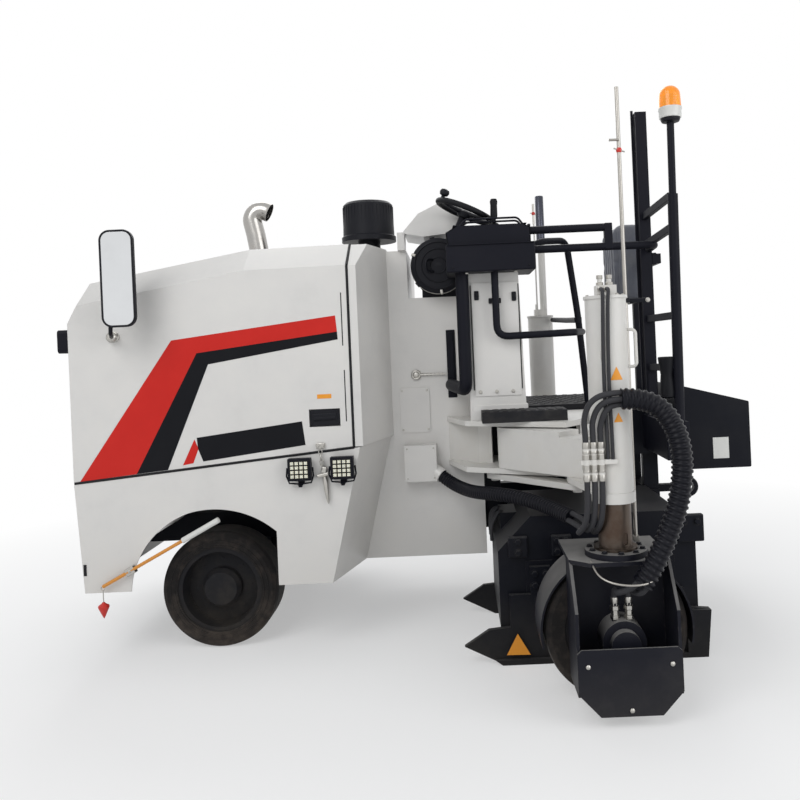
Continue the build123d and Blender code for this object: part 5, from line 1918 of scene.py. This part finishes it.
@dataclass
class Wheels:
    """Wheel nuts and sidewall beads."""

    radius: float = 279.5
    half_wide: float = 101.6
    front_axle: float = 1185.0
    half_track: float = 498.5
    leg_offset: float = 140.0

    def dish(self, body: str, at: Point, side: int, driven: bool) -> None:
        """Dress one wheel's outside.

        Args:
            body: The wheel's body, which also names its pieces.
            at: Hub centre.
            side: Direction of its outside along Y.
            driven: Whether it is a driven wheel.
        """
        shape = Shape()
        x, y, z = at
        for nut in ring((x, y + side * (19 if driven else 10), z), 128, 8):
            shape.hex_bolt(nut, (0, side, 0), 24, 14)
        shape.piece(f"{body}_nuts", body, [CAST_IRON])
        bead = Shape()
        for r in (214, 236):
            bead.tube(ring((x, y + side * self.half_wide, z), r, 96), 2.4, 8, closed=True)
        bead.piece(f"{body}_beads", body, [TYRE_RUBBER])

    def build(self) -> None:
        """Dress all four wheels."""
        z = self.radius
        for side, word in SIDES:
            self.dish(f"wheel_front_{word}", (self.front_axle, side * self.half_track, z), side, False)
        # each rear wheel stands on the machine's side of its leg, so its outside faces inwards
        for (x, y), (side, word) in zip((LEG, FIXED_LEG), SIDES):
            self.dish(f"wheel_rear_{word}", (x, y - side * self.leg_offset, z), -side, True)


@dataclass
class Pointer:
    """Rod, sleeve and bob of the steering guide."""

    y: float = 775.0

    def build(self) -> None:
        """Build the pointer in its own finishes."""
        y, notches = self.y, 61
        arm, tip, clamp = Vector((1290, y, 566)), Vector((1665, y, 370)), (1537, 436)
        shape = Shape()
        shape.tube([(1120, y, 655), (1200, y, 613), arm], 13, 16, 1)
        rod = [arm.lerp(tip, t / (notches - 1)) for t in range(notches)]
        shape.tube(rod, [8.5 if i % 2 else 7.4 for i in range(notches)], 12, 0)
        shape.box((clamp[0], y - 9, clamp[1]), (44, 32, 34), 3, (0, 27, 0), 2)
        shape.hex_bolt((clamp[0], y + 7, clamp[1]), (0, 1, 0), 10, 5, 2)
        shape.tube(ring((tip.x, y, tip.z - 8), 9, 16), 2, 8, 2, closed=True)
        shape.tube([(tip.x, y, 354), (tip.x, y, 326), (tip.x, y, 298)], 2.2, 8, 2)
        bob = [(0, 0), (4, 6), (22, 46), (25, 54), (24, 60), (9, 70), (5, 76), (0, 76)]
        shape.lathe(bob, (tip.x, y, 224), UP, 28, 3)
        shape.piece(
            "steering_guide", "chassis", [ORANGE_PAINT, PLATE_WHITE, ZINC, RED_PAINT],
            ["guide_pointer"],
        )


# ---------------------------------------------------------------- studio
@dataclass
class Studio:
    """Floor, lamps, world and camera."""

    camera_at: Point = (-0.212, 4.0385, 1.41)
    roll: float = 2.5
    lens_mm: float = 35.1
    shift: float = -0.06875
    floor_half: float = 40.0

    def camera(self) -> None:
        """Set the camera at eye height on the machine's left."""
        c, s = math.cos(math.radians(self.roll)), math.sin(math.radians(self.roll))
        right, up, back = Vector((-c, 0, -s)), Vector((-s, 0, c)), Vector((0, 1, 0))
        pose = Matrix((right, up, back)).transposed().to_4x4()
        pose.translation = Vector(self.camera_at)
        data = bpy.data.cameras.new("camera")
        data.lens, data.sensor_width = self.lens_mm, 36.0
        data.shift_x = data.shift_y = self.shift
        data.clip_end = 200.0
        obj = show("camera", data)
        obj.matrix_world = pose
        bpy.context.scene.camera = obj

    def lamps(self) -> None:
        """Hang the soft lamps."""
        for name, at, aim, size, power in (
            ("key", (2.6, 5.0, 5.2), (0.2, 0.2, 0.8), 4.0, 155.0),
            ("fill", (-4.6, 4.0, 2.8), (-0.3, 0.3, 0.8), 4.0, 105.0),
            ("back", (0.5, -4.0, 5.6), (0.0, 0.0, 1.0), 5.0, 165.0),
        ):
            data = bpy.data.lights.new(name, "AREA")
            data.size, data.energy = size, power
            obj = show(name, data)
            obj.location = at
            obj.rotation_euler = (Vector(aim) - Vector(at)).to_track_quat("-Z", "Y").to_euler()

    def world(self) -> None:
        """Light from all round, and show white behind the machine."""
        world = bpy.data.worlds.new("studio")
        world.use_nodes = True
        tree = world.node_tree
        tree.nodes.clear()
        path = add_node(tree, "ShaderNodeLightPath")
        straight = combine(
            tree, "MAXIMUM", path.outputs["Is Camera Ray"], path.outputs["Is Transmission Ray"],
        )
        seen = combine(tree, "MAXIMUM", straight, path.outputs["Is Glossy Ray"])
        dim = add_node(tree, "ShaderNodeBackground", {"Color": (0.94, 0.97, 1.0, 1.0), "Strength": 0.42})
        white = add_node(tree, "ShaderNodeBackground", {"Color": (1.0, 1.0, 1.0, 1.0), "Strength": 1.0})
        mix = add_node(tree, "ShaderNodeMixShader", links={0: seen, 1: dim.outputs[0], 2: white.outputs[0]})
        add_node(tree, "ShaderNodeOutputWorld", links={0: mix.outputs[0]})
        bpy.context.scene.world = world

    def floor(self) -> None:
        """Lay the pale floor, which fades to white away from the machine."""
        material = bpy.data.materials.new("studio_floor")
        material.use_nodes = True
        tree = material.node_tree
        tree.nodes.clear()
        place = add_node(tree, "ShaderNodeTexCoord").outputs["Object"]
        away = add_node(tree, "ShaderNodeVectorMath", links={0: place}, operation="LENGTH")
        fade = remap(tree, away.outputs["Value"], (1.6, 4.5), (0.4, 1.0))
        path = add_node(tree, "ShaderNodeLightPath")
        seen = combine(tree, "MAXIMUM", path.outputs["Is Camera Ray"], path.outputs["Is Glossy Ray"])
        only = combine(tree, "MULTIPLY", fade, seen)
        matt = add_node(tree, "ShaderNodeBsdfDiffuse", {"Color": (0.93, 0.93, 0.93, 1.0)})
        white = add_node(tree, "ShaderNodeEmission", {"Color": (1.0, 1.0, 1.0, 1.0), "Strength": 1.0})
        mix = add_node(tree, "ShaderNodeMixShader", links={0: only, 1: matt.outputs[0], 2: white.outputs[0]})
        add_node(tree, "ShaderNodeOutputMaterial", links={0: mix.outputs[0]})
        data = bpy.data.meshes.new("floor")
        s = self.floor_half
        data.from_pydata([(-s, -s, 0), (s, -s, 0), (s, s, 0), (-s, s, 0)], [], [(0, 1, 2, 3)])
        data.materials.append(material)
        show("floor", data)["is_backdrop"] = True

    def build(self) -> None:
        """Build the studio."""
        bpy.context.scene.view_settings.view_transform = "Standard"
        self.camera()
        self.lamps()
        self.world()
        self.floor()


def corners() -> list[list[float]]:
    """The shown object's lowest and highest corners as plain lists."""
    return [[float(v) for v in corner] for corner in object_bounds()]


def main() -> None:
    """Dress the frame and build each sub-assembly in order."""
    logging.basicConfig(level=logging.INFO, format="%(name)s: %(message)s")
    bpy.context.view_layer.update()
    dress_nodes()
    for part in (
        Hydraulics(),
        EngineCover(),
        Mirrors(),
        WorkLamps(),
        Intake(),
        Exhaust(),
        FlashingLamp(),
        Stand(),
        BackRest(),
        LegFittings(),
        MiddleFittings(),
        DrumFittings(),
        Wheels(),
        Pointer(),
        Studio(),
    ):
        part.build()
        LOG.info("built %s", type(part).__name__)


if __name__ == "__main__":
    main()
